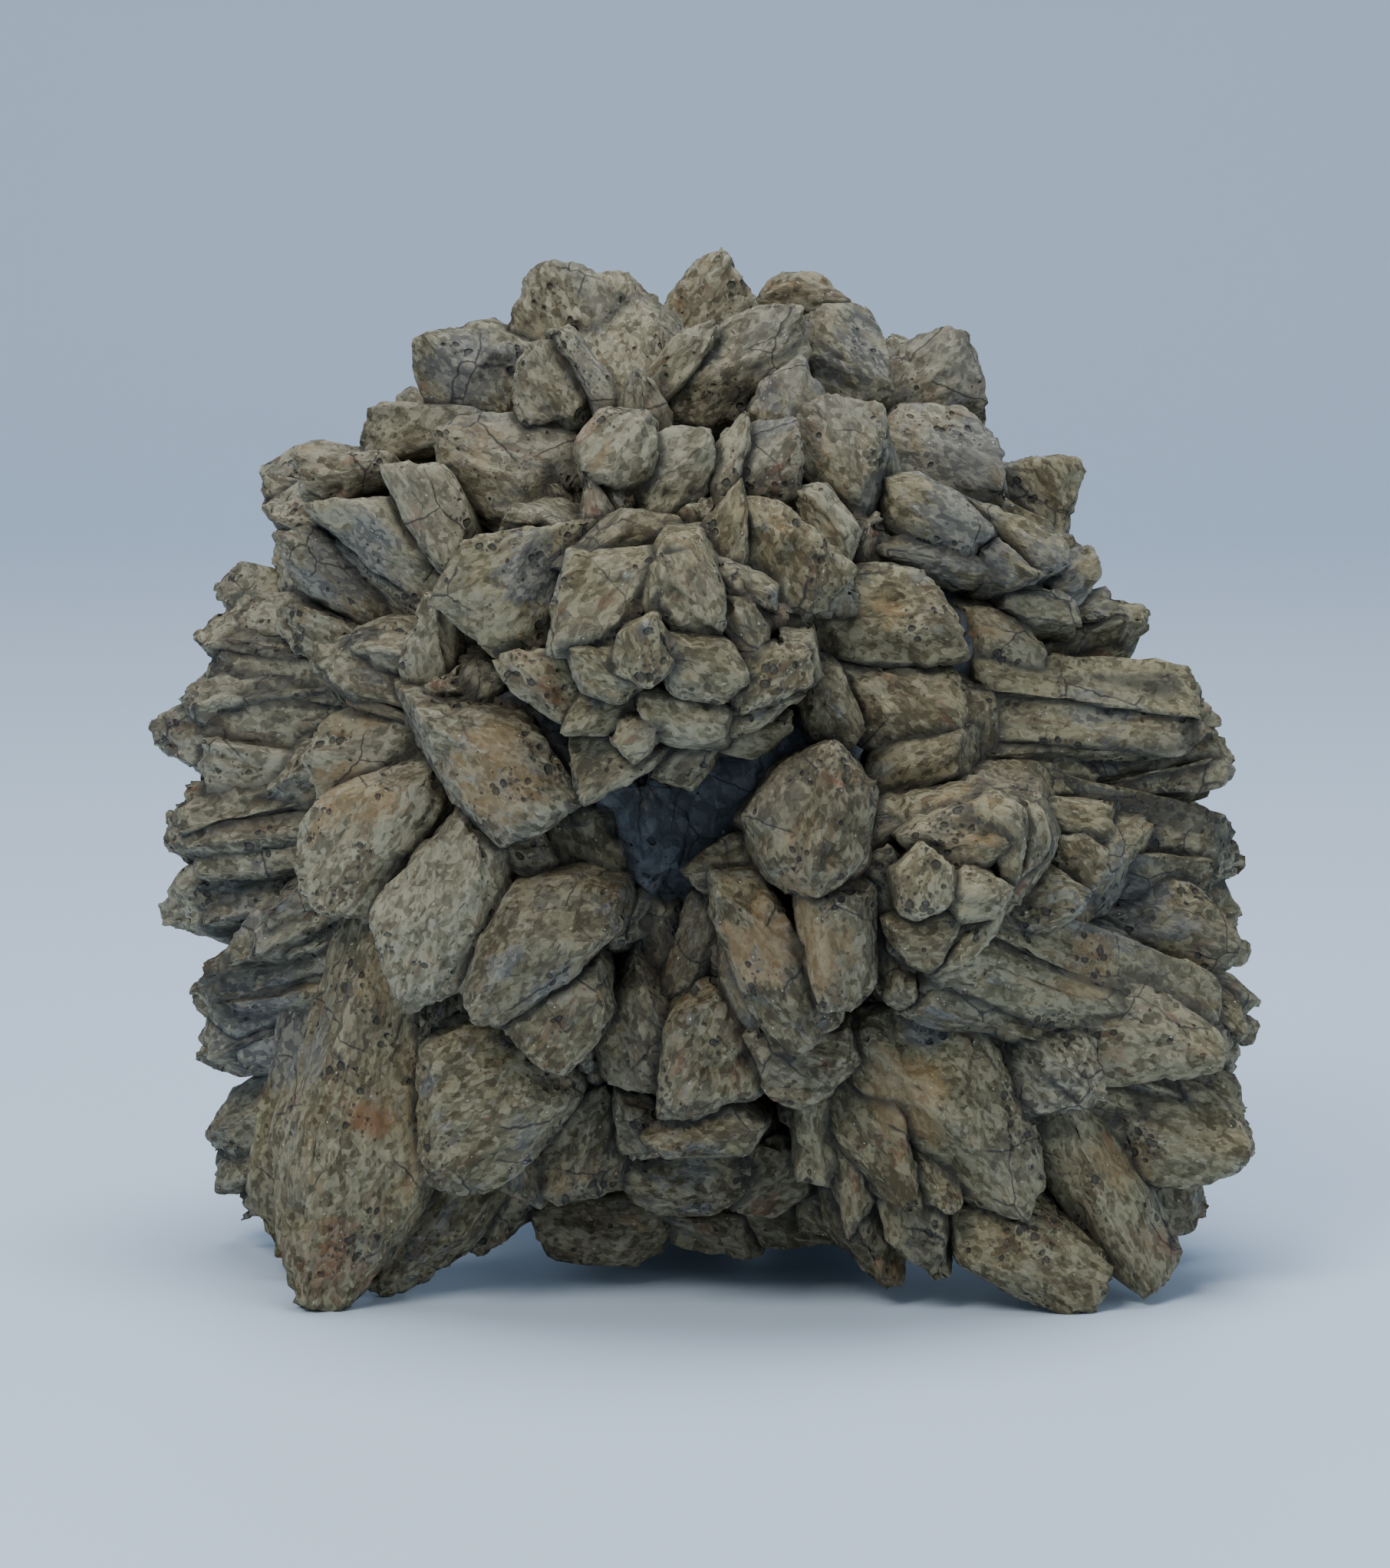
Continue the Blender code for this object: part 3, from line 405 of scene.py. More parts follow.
rightFlank = {
    "piece": "rightFlankCrystals",
    "firstNumber": 106,
    "cellSize": 0.88,
    "look": warmLook,
    "rows": [
        (49.8, 44.2, 4, 37.0, 36, 2, 10, 10, 1.7),
        (47.2, 34.6, 18, 23.0, 40, 34, 14, 13, 2.0),
        (51.6, 30.5, 8, 39.0, 30, 18, 8, 10, 1.9),
        (34.8, 24.5, 46, 16.0, 26, 42, 13, 12, 1.9),
        (34.4, 14.5, 46, 18.0, 16, 40, 11.5, 12, 1.4),
        (42.0, 21.5, 32, 32.0, 22, 34, 12, 12, 1.7),
        (58.2, 24.8, 4, 43.0, 20, 14, 10, 11, 1.9),
        (66.8, 11.5, 10, 44.0, 12, 24, 13, 13, 2.0),
        (68.8, 7.0, 4, 47.0, 4, 20, 10, 11, 1.7),
        (35.6, 1.4, 38, 35.0, 13, 34, 5, 8, 1.9),
        (51.2, 2.0, 24, 37.0, 4, 30, 7, 9, 2.2),
        (22.4, 2.0, 46, 33.0, 7, 34, 7.5, 9, 2.2),
        (29.5, -20.5, 56, 32.0, -5, 36, 22, 17, 0.9),
        (26.1, -25.4, 54, 23.5, -9, 40, 11, 11, 2.0),
        (42.5, -15.5, 40, 48.0, -6, 26, 13, 12, 1.9),
        (70.2, -8.0, 4, 50.0, -4, 20, 13, 12, 2.2),
        (70.0, -15.6, 2, 50.0, -12, 18, 10, 11, 2.0),
        (70.8, -19.0, -4, 50.0, -17, 14, 9, 11, 2.3),
        (71.6, -29.5, 2, 47.0, -19, 26, 11.5, 11, 2.3),
        (69.2, -32.6, 14, 38.0, -21, 44, 17, 13, 1.9),
        (68.9, -38.0, -6, 56.0, -35, 6, 8, 10, 1.9),
        (71.8, -45.0, 14, 51.0, -37, 28, 13, 12, 2.2),
        (66.0, -51.6, 0, 52.0, -46, 14, 7, 10, 1.9),
    ],
    "outlines": {
        0: [(1305, 612), (1345, 602), (1403, 600), (1413, 612), (1400, 650), (1390, 690), (1383, 706),
            (1335, 690), (1310, 660)],
        1: [(1150, 640), (1260, 638), (1340, 660), (1392, 688), (1392, 714), (1300, 704), (1190, 708),
            (1145, 690)],
        3: [(1075, 775), (1130, 745), (1205, 748), (1245, 800), (1262, 850), (1150, 864), (1060, 850),
            (1052, 800)],
        4: [(1075, 862), (1150, 866), (1250, 870), (1258, 910), (1250, 955), (1170, 975), (1120, 960),
            (1085, 905)],
        5: [(1236, 785), (1325, 785), (1345, 825), (1392, 850), (1370, 885), (1310, 912), (1262, 905),
            (1252, 850)],
        9: [(1258, 905), (1290, 915), (1300, 1000), (1292, 1040), (1262, 1042), (1250, 985)],
        11: [(1140, 975), (1190, 958), (1250, 960), (1252, 1010), (1200, 1030), (1150, 1045), (1128, 1035)],
        12: [(1122, 1078), (1170, 1052), (1282, 1038), (1345, 1050), (1366, 1100), (1330, 1170),
            (1260, 1240), (1196, 1262), (1150, 1190)],
    },
    "extras": [
        (38, [(1155, 625), (1200, 620), (1260, 655), (1290, 690), (1255, 720), (1200, 700), (1160, 680)]),
        (32, [(1250, 650), (1300, 665), (1350, 690), (1385, 705), (1387, 730), (1340, 750), (1300, 700)]),
        (38, [(1200, 692), (1255, 716), (1300, 745), (1290, 762), (1230, 747), (1150, 737), (1140, 715)]),
        (36, [(1300, 705), (1345, 745), (1310, 757), (1285, 757), (1280, 720)]),
        (24, [(1345, 755), (1385, 728), (1400, 712), (1422, 720), (1428, 745), (1410, 768), (1393, 785)]),
        (31, [(1310, 765), (1350, 765), (1395, 787), (1400, 803), (1340, 803), (1305, 790)]),
        (54, [(1105, 1078), (1165, 1068), (1200, 1085), (1185, 1105), (1150, 1112), (1135, 1137),
              (1110, 1125)]),
        (61, [(1185, 1090), (1225, 1065), (1255, 1055), (1290, 1068), (1310, 1100), (1290, 1122),
              (1240, 1132), (1205, 1112)]),
        (60, [(1255, 1055), (1300, 1038), (1330, 1060), (1330, 1100), (1315, 1140), (1295, 1110)]),
        (56, [(1325, 1045), (1350, 1055), (1372, 1105), (1355, 1117), (1345, 1142), (1320, 1140),
              (1330, 1100)]),
        (64, [(1175, 1140), (1205, 1110), (1235, 1135), (1238, 1160), (1225, 1177), (1200, 1187),
              (1180, 1180)]),
        (63, [(1215, 1115), (1250, 1130), (1300, 1127), (1318, 1150), (1290, 1190), (1250, 1197),
              (1215, 1190), (1238, 1160)]),
        (61, [(1165, 1200), (1180, 1190), (1215, 1190), (1245, 1195), (1230, 1230), (1212, 1258),
              (1190, 1250)]),
        (59, [(1230, 1212), (1260, 1195), (1300, 1190), (1290, 1215), (1255, 1250), (1225, 1258)]),
        (58, [(1120, 1132), (1160, 1110), (1182, 1140), (1180, 1190), (1160, 1192), (1140, 1165)]),
        (50, [(1325, 1150), (1360, 1130), (1415, 1165), (1400, 1190), (1360, 1205), (1330, 1200),
              (1310, 1180)]),
        (42, [(1350, 1050), (1440, 1055), (1442, 1087), (1420, 1100), (1375, 1100)]),
        (44, [(1372, 1102), (1420, 1097), (1440, 1110), (1425, 1150), (1400, 1152), (1375, 1125)]),
        (40, [(1268, 1290), (1290, 1262), (1345, 1238), (1420, 1240), (1475, 1268), (1560, 1330),
              (1595, 1365), (1590, 1388), (1500, 1404), (1400, 1412), (1350, 1370), (1300, 1325)]),
        (32, [(1425, 1435), (1450, 1404), (1500, 1398), (1560, 1420), (1605, 1455), (1630, 1497),
              (1618, 1518), (1590, 1533), (1540, 1540), (1495, 1535), (1450, 1490)]),
        (24, [(1440, 1262), (1480, 1252), (1565, 1272), (1610, 1310), (1625, 1345), (1605, 1356),
              (1560, 1340), (1500, 1300)]),
        (24, [(1425, 1160), (1500, 1135), (1560, 1162), (1600, 1200), (1618, 1232), (1600, 1253),
              (1560, 1266), (1500, 1260), (1440, 1230)]),
    ],
    "tones": {3: 0.5, 4: 0.35, 9: 0.2, 11: 0.4, 318: 0.6, 319: 0.6, 320: 0.5, 321: 0.3},
}

rightFoot = {
    "piece": "rightFootCrystals",
    "firstNumber": 129,
    "look": dict(warmLook, streaks=0.7),
    "rows": [
        (59.0, -64.2, 42, 40.0, -26, 46, 12, 12, 2.0),
        (38.8, -54.2, 50, 25.0, -23, 44, 19, 14, 1.8),
        (49.2, -66.6, 41, 37.5, -43, 34, 13, 12, 1.5),
        (27.8, -53.2, 44, 17.0, -33, 36, 10, 11, 2.4),
        (32.8, -53.4, 42, 28.0, -45, 38, 5.5, 8, 2.1),
    ],
    "outlines": {
        0: [(1272, 1302), (1312, 1292), (1352, 1322), (1440, 1455), (1500, 1560), (1535, 1625),
            (1545, 1655), (1530, 1685), (1490, 1690), (1450, 1668), (1390, 1580), (1330, 1470),
            (1280, 1380)],
        1: [(1105, 1352), (1120, 1322), (1180, 1295), (1255, 1292), (1300, 1378), (1350, 1485),
            (1364, 1560), (1345, 1594), (1290, 1587), (1240, 1545), (1150, 1442), (1115, 1402)],
        2: [(1250, 1590), (1285, 1560), (1345, 1575), (1410, 1625), (1445, 1665), (1430, 1700),
            (1390, 1708), (1340, 1695), (1290, 1665), (1255, 1640)],
    },
    "tones": {0: 0.65, 1: 0.45, 2: 0.55},
}

rearFeet = {
    "piece": "rearLowerCrystals",
    "firstNumber": 134,
    "rows": [
        (-3.0, -56.5, -32, -6.0, -36, -16, 15, 15, 1.3),
        (19.0, -56.0, -32, 14.0, -36, -16, 14, 15, 1.3),
    ],
}

# Slabs of mudstone that show in the hollow, in front of the heart
hollowSlate = {
    "piece": "hollowSlateCrystals",
    "firstNumber": 1000,
    "rows": [],
    "extras": [
        (48, [(630, 890), (680, 885), (752, 940), (770, 1045), (740, 1052), (650, 965)]),
        (47, [(785, 1030), (850, 1005), (890, 1050), (876, 1120), (850, 1150), (812, 1110)]),
        (47, [(1030, 895), (1072, 930), (1118, 975), (1105, 1005), (1050, 995), (1015, 945)]),
        (45, [(1125, 1035), (1180, 1026), (1252, 1030), (1270, 1055), (1200, 1078), (1135, 1078)]),
        (44, [(832, 1105), (900, 1098), (908, 1150), (872, 1185), (838, 1172)]),
    ],
}

# Crystals of the back and the underside, which the photograph doesn't show
unseen = {
    "firstNumber": 136,
    "places": 150,
    "spacing": 14.0,            # degrees that they keep from a seen crystal
    "frontLimit": 0.30,         # none face the camera more than this
    "leftOut": (42, 47),        # places that stay empty
    "stretch": (0.90, 1.03),
    "undersideBelow": -0.5,
    "undersideShare": 0.86,
    "root": 0.64,
    "lean": 0.0035,
    "width": (0.012, 0.0185),
    "thickness": (0.75, 0.95),  # as a share of the width
    "point": (1.0, 1.7),
    "cellSize": 1.12,
    "look": {},
}

# Small crystals behind the seen ones, that close the gaps between them
inner = {
    "firstNumber": 500,
    "places": 230,
    "frontLimit": 0.52,
    "sunk": 0.0075,             # how far their tips lie behind the ends of their neighbours
    "sinking": (0.6, 1.3),      # and how much that differs
    "neighbours": 4,
    "width": (0.0085, 0.0125),
    "thickness": (0.65, 0.95),
    "point": (0.9, 1.8),
    "depth": 0.020,
    "lean": 0.0030,
    "hollow": ((-1.0, 3.5), (30.0, 9.5)),       # none in this oval: its middle and half widths
    "cellSize": 1.05,
    "look": {"dark": (0.054, 0.048, 0.032), "middle": (0.150, 0.136, 0.090)},
}

# A flank crystal is a bundle of laths with stepped ends
bundle = {
    "regions": ("leftFlank", "rightFlank"),
    "widest": 9.0,              # crystals above this width in millimetres are split
    "mainWidth": 0.86,
    "aside": 0.31,              # the two side laths, as shares of the width
    "sideWidth": (0.46, 0.62),
    "shorter": (2.5, 8.0),
    "closing": 0.6,             # how far aside they still are at their ends
    "nearer": (-0.02, 0.20),    # how far they stand before the main one, in its thickness
    "thickness": (0.70, 1.0),
    "point": (0.7, 1.5),
}

# What the row of an extra crystal would be: its root as a share of its tip, then width, thickness and point
extraRow = {
    "firstNumber": 300,
    "inward": 0.6,
    "back": 0.45,
    "shape": (9, 9, 1.0),
}

# A crystal that points at the viewer and is given by its outline
outlinedShape = {
    "grown": 0.0011,            # the outlines are seams, and the crystals run a little past them
    "rimDrop": 0.17,            # how far the outline lies behind the end, as a share of its size
    "leaning": 0.45,            # how far it runs back along its own axis, and not straight back
    "facing": 0.35,             # how far its end turns to that axis
    "depth": 0.7,
    "ridgeLean": (8.0, 26.0),   # the two end faces meet in a ridge
    "bevels": ((30.0, 48.0), (60.0, 78.0)),
    "flare": 0.05,
    "ridgeOff": 0.12,           # how far the ridge is off the middle, as a share of the size
    "ridgeTilt": 0.14,
    "middle": 0.25,
    "cellShare": 1.25,
}


def placeSeen(right, up, reach):
    # a point of the rows, moved from where it is seen to where it is
    nearness = 1.0 - reach * mm / ball["sightDistance"]
    onFace = (viewRight * right + viewUp * up) * mm * nearness
    return growthCentre + onFace + viewReach * reach * mm


def fromPhoto(points):
    # pixels of the photograph as millimetres right and up from the growth centre
    middleX, middleY = ball["photoCentre"]
    return [((x - middleX) / ball["photoScale"], (middleY - y) / ball["photoScale"]) for x, y in points]


def lathsOf(region, rows):
    # the rows, with the wide crystals of the flanks split along their length
    if not region["piece"].startswith(bundle["regions"]):
        return rows
    split = []
    for number, row, outline in rows:
        if outline or row[6] < bundle["widest"]:
            split.append((number, row, outline))
            continue
        rng = random.Random(ball["seed"] * 70 + region["firstNumber"] + number)
        rightWay, upWay = row[0] - row[3], row[1] - row[4]
        longness = math.hypot(rightWay, upWay, row[2] - row[5])
        flat = math.hypot(rightWay, upWay) or 1.0
        split.append((number, (*row[:6], row[6] * bundle["mainWidth"], *row[7:]), None))
        for lath in (-1, 1):
            aside = lath * row[6] * bundle["aside"]
            shorter = rng.uniform(*bundle["shorter"]) / longness
            nearer = rng.uniform(*bundle["nearer"]) * row[7]
            moved = (-upWay / flat * aside, rightWay / flat * aside, nearer)
            tip = [end - (end - start) * shorter + move * bundle["closing"]
                   for end, start, move in zip(row[0:3], row[3:6], moved)]
            root = [start + move for start, move in zip(row[3:6], moved)]
            width = row[6] * rng.uniform(*bundle["sideWidth"])
            thickness = row[7] * rng.uniform(*bundle["thickness"])
            point = rng.uniform(*bundle["point"])
            split.append((number + 0.5 + 0.2 * lath, (*tip, *root, width, thickness, point), None))
    return split


def seenCrystals(regions):
    # every crystal of the rows and the extras, placed in the ball
    found = []
    for region in regions:
        outlines = {number: fromPhoto(points) for number, points in region.get("outlines", {}).items()}
        rows = [(number, row, outlines.get(number)) for number, row in enumerate(region["rows"])]
        for number, (reach, points) in enumerate(region.get("extras", [])):
            outline = fromPhoto(points)
            right, up = (sum(point[way] for point in outline) / len(outline) for way in (0, 1))
            inward, back = extraRow["inward"], extraRow["back"]
            rows.append((extraRow["firstNumber"] + number,
                         (right, up, reach, right * inward, up * inward, reach * back, *extraRow["shape"]),
                         outline))
        for number, row, outline in lathsOf(region, rows):
            nearness = 1.0 - row[2] * mm / ball["sightDistance"]
            found.append({
                "number": region["firstNumber"] + number,
                "tip": placeSeen(*row[0:3]),
                "root": placeSeen(*row[3:6]),
                "reach": row[2],
                "width": row[6] * mm * nearness,
                "thickness": row[7] * mm * nearness,
                "point": row[8],
                "outline": outline,
                "tone": region.get("tones", {}).get(int(number)),
                "piece": region["piece"],
                "cellSize": region.get("cellSize", skin["cellSize"]),
            })
    return found


def unseenCrystals(seen):
    # evenly spread directions, without those that a seen crystal already fills
    rng = random.Random(ball["seed"])
    golden = math.pi * (3 - math.sqrt(5))
    spacing = math.radians(unseen["spacing"])
    taken = [crystal["tip"] - growthCentre for crystal in seen]
    found = []
    for index in range(unseen["places"]):
        height = 1 - 2 * (index + 0.5) / unseen["places"]
        turn = golden * index
        level = math.sqrt(1 - height * height)
        way = Vector((level * math.cos(turn), level * math.sin(turn), height))
        size = rng.uniform(0.0, 1.0)
        stretch = rng.uniform(*unseen["stretch"])
        lean = Vector((rng.uniform(-1, 1), rng.uniform(-1, 1), rng.uniform(-1, 1))) * unseen["lean"]
        crowded = any(way.angle(other) <= spacing for other in taken)
        if crowded or way.dot(viewReach) >= unseen["frontLimit"] or index in unseen["leftOut"]:
            continue
        outer = Vector([part * radius for part, radius in zip(way, ball["reach"])]) * stretch
        if height < unseen["undersideBelow"]:
            outer *= unseen["undersideShare"]
        width = unseen["width"][0] + (unseen["width"][1] - unseen["width"][0]) * size
        found.append({
            "number": unseen["firstNumber"] + len(found),
            "outline": None,
            "tip": growthCentre + outer,
            "root": growthCentre + outer * unseen["root"] + lean,
            "width": width,
            "thickness": width * rng.uniform(*unseen["thickness"]),
            "point": rng.uniform(*unseen["point"]),
            "piece": "rearUpperCrystals" if outer.z > 0.0 else "rearLowerCrystals",
            "cellSize": unseen["cellSize"],
        })
    return found


def innerCrystals(seen):
    # crystals set a little behind whatever stands nearest to them on the front
    rng = random.Random(ball["seed"] + 40)
    golden = math.pi * (3 - math.sqrt(5))
    (hollowRight, hollowUp), (hollowWidth, hollowHeight) = inner["hollow"]
    tips = [crystal["tip"] - growthCentre for crystal in seen]
    found = []
    for index in range(inner["places"]):
        height = 1 - 2 * (index + 0.5) / inner["places"]
        level = math.sqrt(1 - height * height)
        way = Vector((level * math.cos(golden * index), level * math.sin(golden * index), height))
        size = rng.uniform(0.0, 1.0)
        lean = Vector((rng.uniform(-1, 1), rng.uniform(-1, 1), rng.uniform(-1, 1))) * inner["lean"]
        deeper = rng.uniform(*inner["sinking"])
        nearest = sorted(tips, key=lambda tip: way.angle(tip))[:inner["neighbours"]]
        outer = sum(tip.length for tip in nearest) / len(nearest) - inner["sunk"] * deeper
        right, up = (outer * way.dot(side) / mm for side in (viewRight, viewUp))
        inHollow = math.hypot((right - hollowRight) / hollowWidth, (up - hollowUp) / hollowHeight) < 1.0
        if way.dot(viewReach) < inner["frontLimit"] or inHollow:
            continue
        width = inner["width"][0] + (inner["width"][1] - inner["width"][0]) * size
        found.append({
            "number": inner["firstNumber"] + len(found),
            "outline": None,
            "tip": growthCentre + way * outer,
            "root": growthCentre + way * (outer - inner["depth"]) + lean,
            "width": width,
            "thickness": width * rng.uniform(*inner["thickness"]),
            "point": rng.uniform(*inner["point"]),
            "piece": "innerCrystals",
            "cellSize": inner["cellSize"],
        })
    return found


def setFaces(crystal):
    # the crystal's own directions, and its flat faces as normals and distances from the origin
    tip, root, width, thickness = (crystal[key] for key in ("tip", "root", "width", "thickness"))
    axis = (tip - root).normalized()
    across = axis.cross(viewReach)
    if across.length < crystalShape["upright"]:
        across = viewRight.copy()
    across.normalize()
    through = axis.cross(across)
    length = (tip - root).length + ball["buried"]
    rng = random.Random(ball["seed"] * 1000 + crystal["number"])
    turn = rng.uniform(0.0, math.tau)
    slant, turning = crystalShape["slant"], crystalShape["turning"]
    tilt = across * rng.uniform(-slant, slant) + through * rng.uniform(-slant, slant)
    faces = [(tip, (axis + tilt).normalized()), (tip - axis * length, -axis)]
    sides = 5 if width > crystalShape["fiveSidedWidth"] else 4
    for side in range(sides):
        angle = turn + math.tau * (side + rng.uniform(-turning, turning)) / sides
        outward = across * math.cos(angle) + through * math.sin(angle)
        half = math.hypot(width / 2 * math.cos(angle), thickness / 2 * math.sin(angle))
        half *= crystalShape["faceScale"] * rng.uniform(*crystalShape["sideScale"])
        reach = width / 2 * crystal["point"] * rng.uniform(*crystalShape["pointScale"])
        neck = half * crystalShape["neck"] * rng.uniform(*crystalShape["pointScale"])
        profile = [(0.0, half * crystalShape["tip"]), (reach * crystalShape["neckShare"], neck),
                   (reach, half), (length, half * crystalShape["tail"])]
        if width < crystalShape["necklessWidth"]:
            profile.pop(1)
        for (start, startHalf), (end, endHalf) in zip(profile, profile[1:]):
            slope = math.atan2(endHalf - startHalf, end - start)
            normal = outward * math.cos(slope) + axis * math.sin(slope)
            faces.append((tip - axis * start + outward * startHalf, normal))
    ahead = length * skin["middle"]
    crystal.update(length=length, middle=tip - axis * ahead, ways=(across, through, axis),
                   ahead=(width / 2, thickness / 2, ahead), behind=(width / 2, thickness / 2, length - ahead))
    return faces


def setOutlinedFaces(crystal):
    # a crystal that points at the viewer: its outline runs back to the root, with bevels and two end faces
    rng = random.Random(ball["seed"] * 2000 + crystal["number"])
    size = max(math.dist(one, other) for one in crystal["outline"] for other in crystal["outline"])
    rimReach = crystal["reach"] - size * outlinedShape["rimDrop"]
    rim = [placeSeen(right, up, rimReach) for right, up in crystal["outline"]]
    centre = sum(rim, Vector()) / len(rim)
    own = (crystal["tip"] - crystal["root"]).normalized()
    axis = (own * outlinedShape["leaning"] + viewReach).normalized()
    outwardView = (own * outlinedShape["facing"] + viewReach).normalized()
    longest = max(((one - other) for one in rim for other in rim), key=lambda way: way.length)
    along = (longest - outwardView * longest.dot(outwardView)).normalized()
    across = outwardView.cross(along)
    length = size * mm * outlinedShape["depth"] + ball["buried"]
    top = centre + outwardView * size * mm * outlinedShape["rimDrop"]
    off = rng.uniform(-outlinedShape["ridgeOff"], outlinedShape["ridgeOff"]) * size * mm
    faces = [(centre - axis * length, -axis)]
    for side in (-1, 1):
        lean = math.radians(rng.uniform(*outlinedShape["ridgeLean"]))
        tilt = along * rng.uniform(-outlinedShape["ridgeTilt"], outlinedShape["ridgeTilt"])
        normal = outwardView * math.cos(lean) + across * side * math.sin(lean) + tilt
        faces.append((top + across * off, normal.normalized()))
    for start, end in zip(rim, rim[1:] + rim[:1]):
        edge = (end - start).normalized()
        outward = edge.cross(axis).normalized()
        outward = outward if outward.dot(start - centre) > 0 else -outward
        outward = (outward + axis * outlinedShape["flare"]).normalized()
        start = start + outward * outlinedShape["grown"]
        faces.append((start, outward))
        bevel = math.radians(rng.uniform(*rng.choice(outlinedShape["bevels"])))
        level = edge.cross(outwardView).normalized()
        level = level if level.dot(start - centre) > 0 else -level
        faces.append((start, outwardView * math.cos(bevel) + level * math.sin(bevel)))
    acrossHalf = max(abs((point - centre).dot(across)) for point in rim)
    alongHalf = max(abs((point - centre).dot(along)) for point in rim)
    back = size * mm * outlinedShape["middle"]
    crystal.update(length=length, middle=centre - axis * back, ways=(across, outwardView, along),
                   width=min(acrossHalf, alongHalf) * 2,
                   ahead=(acrossHalf, back + size * mm * outlinedShape["rimDrop"], alongHalf),
                   behind=(acrossHalf, length - back, alongHalf))
    return faces


cellBalls = {}


def cellBall(cells):
    # a ball of even square cells, from a cube whose faces are cut and blown out
    if cells not in cellBalls:
        cube = bmesh.new()
        bmesh.ops.create_cube(cube, size=2.0)
        bmesh.ops.subdivide_edges(cube, edges=cube.edges[:], cuts=cells - 1, use_grid_fill=True)
        corners = np.array([vertex.co[:] for vertex in cube.verts])
        quads = np.array([[vertex.index for vertex in face.verts] for face in cube.faces])
        cube.free()
        corners = np.tan(corners * math.pi / 4)
        corners /= np.linalg.norm(corners, axis=1)[:, None]
        cellBalls[cells] = (corners, quads)
    return cellBalls[cells]


def crystalSkin(crystal, cells):
    # the flat faces with their edges worn round, and how much each point is worn
    corners, quads = cellBall(cells)
    middle = np.array(crystal["middle"][:])
    reachOut = np.where(corners > 0, np.array(crystal["ahead"]), np.array(crystal["behind"]))
    rays = (corners * reachOut) @ np.array([way[:] for way in crystal["ways"]])
    rays /= np.linalg.norm(rays, axis=1)[:, None]
    rounding = skin["rounding"] + crystal["width"] * skin["roundingShare"]
    slopes = rays @ crystal["normals"].T
    offsets = crystal["distances"] + rounding * skin["swollen"] - crystal["normals"] @ middle
    reach = np.where(slopes > 1e-4, offsets / np.maximum(slopes, 1e-4), np.inf).min(axis=1)
    for step in range(skin["steps"]):
        weights = np.exp((reach[:, None] * slopes - offsets) / rounding)
        total = weights.sum(axis=1)
        reach -= rounding * np.log(total) * total / (weights * slopes).sum(axis=1)
    wear = 1.0 - weights.max(axis=1) / total
    return middle + rays * reach[:, None], quads, wear


def clearance(points, crystal, others):
    # how far each point is from the nearest other crystal, below 0 inside it
    nearest = np.full(len(points), 1.0)
    middle = (crystal["tip"] + crystal["root"]) / 2
    for other in others:
        reach = (crystal["length"] + other["length"]) / 2 + skin["nearby"]
        if other is crystal or (middle - (other["tip"] + other["root"]) / 2).length > reach:
            continue
        outside = (points @ other["normals"].T - other["distances"]).max(axis=1)
        nearest = np.minimum(nearest, outside)
    return nearest


# Patches seen on the front: right, up and radius in millimetres as seen, and strength
patches = {
    "ochre": [
        (-27.4, 5.0, 6, 0.9), (-45.4, 1.5, 6, 0.8), (7.6, -20, 5, 0.9), (14.6, -18, 5, 0.8),
        (26.6, -38, 6, 1.0), (8.6, 37, 4, 0.5), (34.6, -2, 6, 0.6), (12.6, 70.7, 5, 0.9),
        (49.6, -22.5, 7, 0.6), (54.8, -46, 5, 0.7), (-42, -40, 4, 0.8), (-30, 48, 5, 0.5),
        (37.6, 23.4, 5, 0.6), (-1.6, 31.6, 4, 0.5), (11.6, -15.4, 6, 0.7), (-43.5, 11.2, 6, 0.6),
        (-24, 2, 5, 0.7), (25, 24, 5, 0.4), (-8, 15, 4, 0.4), (-20, -48, 6, 0.4),
    ],
    "rust": [
        (-48.4, -59, 8, 0.5), (59.6, -57, 4, 0.6), (24.6, -45, 3, 0.5), (14, 67, 3, 0.5),
        (-43, -41, 2.5, 0.8), (-36, 2, 3, 0.4),
    ],
    "crust": [
        (-22.4, 31, 5, 1.0), (32.6, 35, 7, 0.9), (-57.4, -30, 7, 0.9), (33.6, 45, 8, 0.9),
        (29.6, -29, 3, 0.7), (-25.4, -20, 3, 0.9), (-46.5, 31.6, 7, 0.8), (-30.2, 57, 6, 0.8),
        (18.7, 60, 7, 0.7), (-2.7, -48, 7, 0.5), (51.4, 12.2, 5, 0.6), (55.4, -13.3, 8, 0.7),
        (-60, -12, 7, 0.5), (46, 30, 8, 0.6), (10, 52, 5, 0.6),
    ],
}


# How a patch ends: across the front, and towards the back, where none of them is placed
patchEdge = {"falling": 0.7, "depth": 0.012, "start": 0.8, "plainSeen": 0.30, "plainUnseen": 0.4}


def patchStrength(points, kind):
    # how strongly the patches of one kind reach each point of the front
    local = points - np.array(growthCentre[:])
    reach = local @ np.array(viewReach[:])
    nearness = (1.0 - reach / ball["sightDistance"]) * mm
    right = local @ np.array(viewRight[:]) / nearness
    up = local @ np.array(viewUp[:]) / nearness
    strength = np.zeros(len(points))
    for patchRight, patchUp, radius, amount in patches[kind]:
        away = ((right - patchRight) ** 2 + (up - patchUp) ** 2) / radius ** 2
        strength = np.maximum(strength, amount * np.exp(-away * patchEdge["falling"]))
    return strength * np.clip(reach / patchEdge["depth"] + patchEdge["start"], 0.0, 1.0)


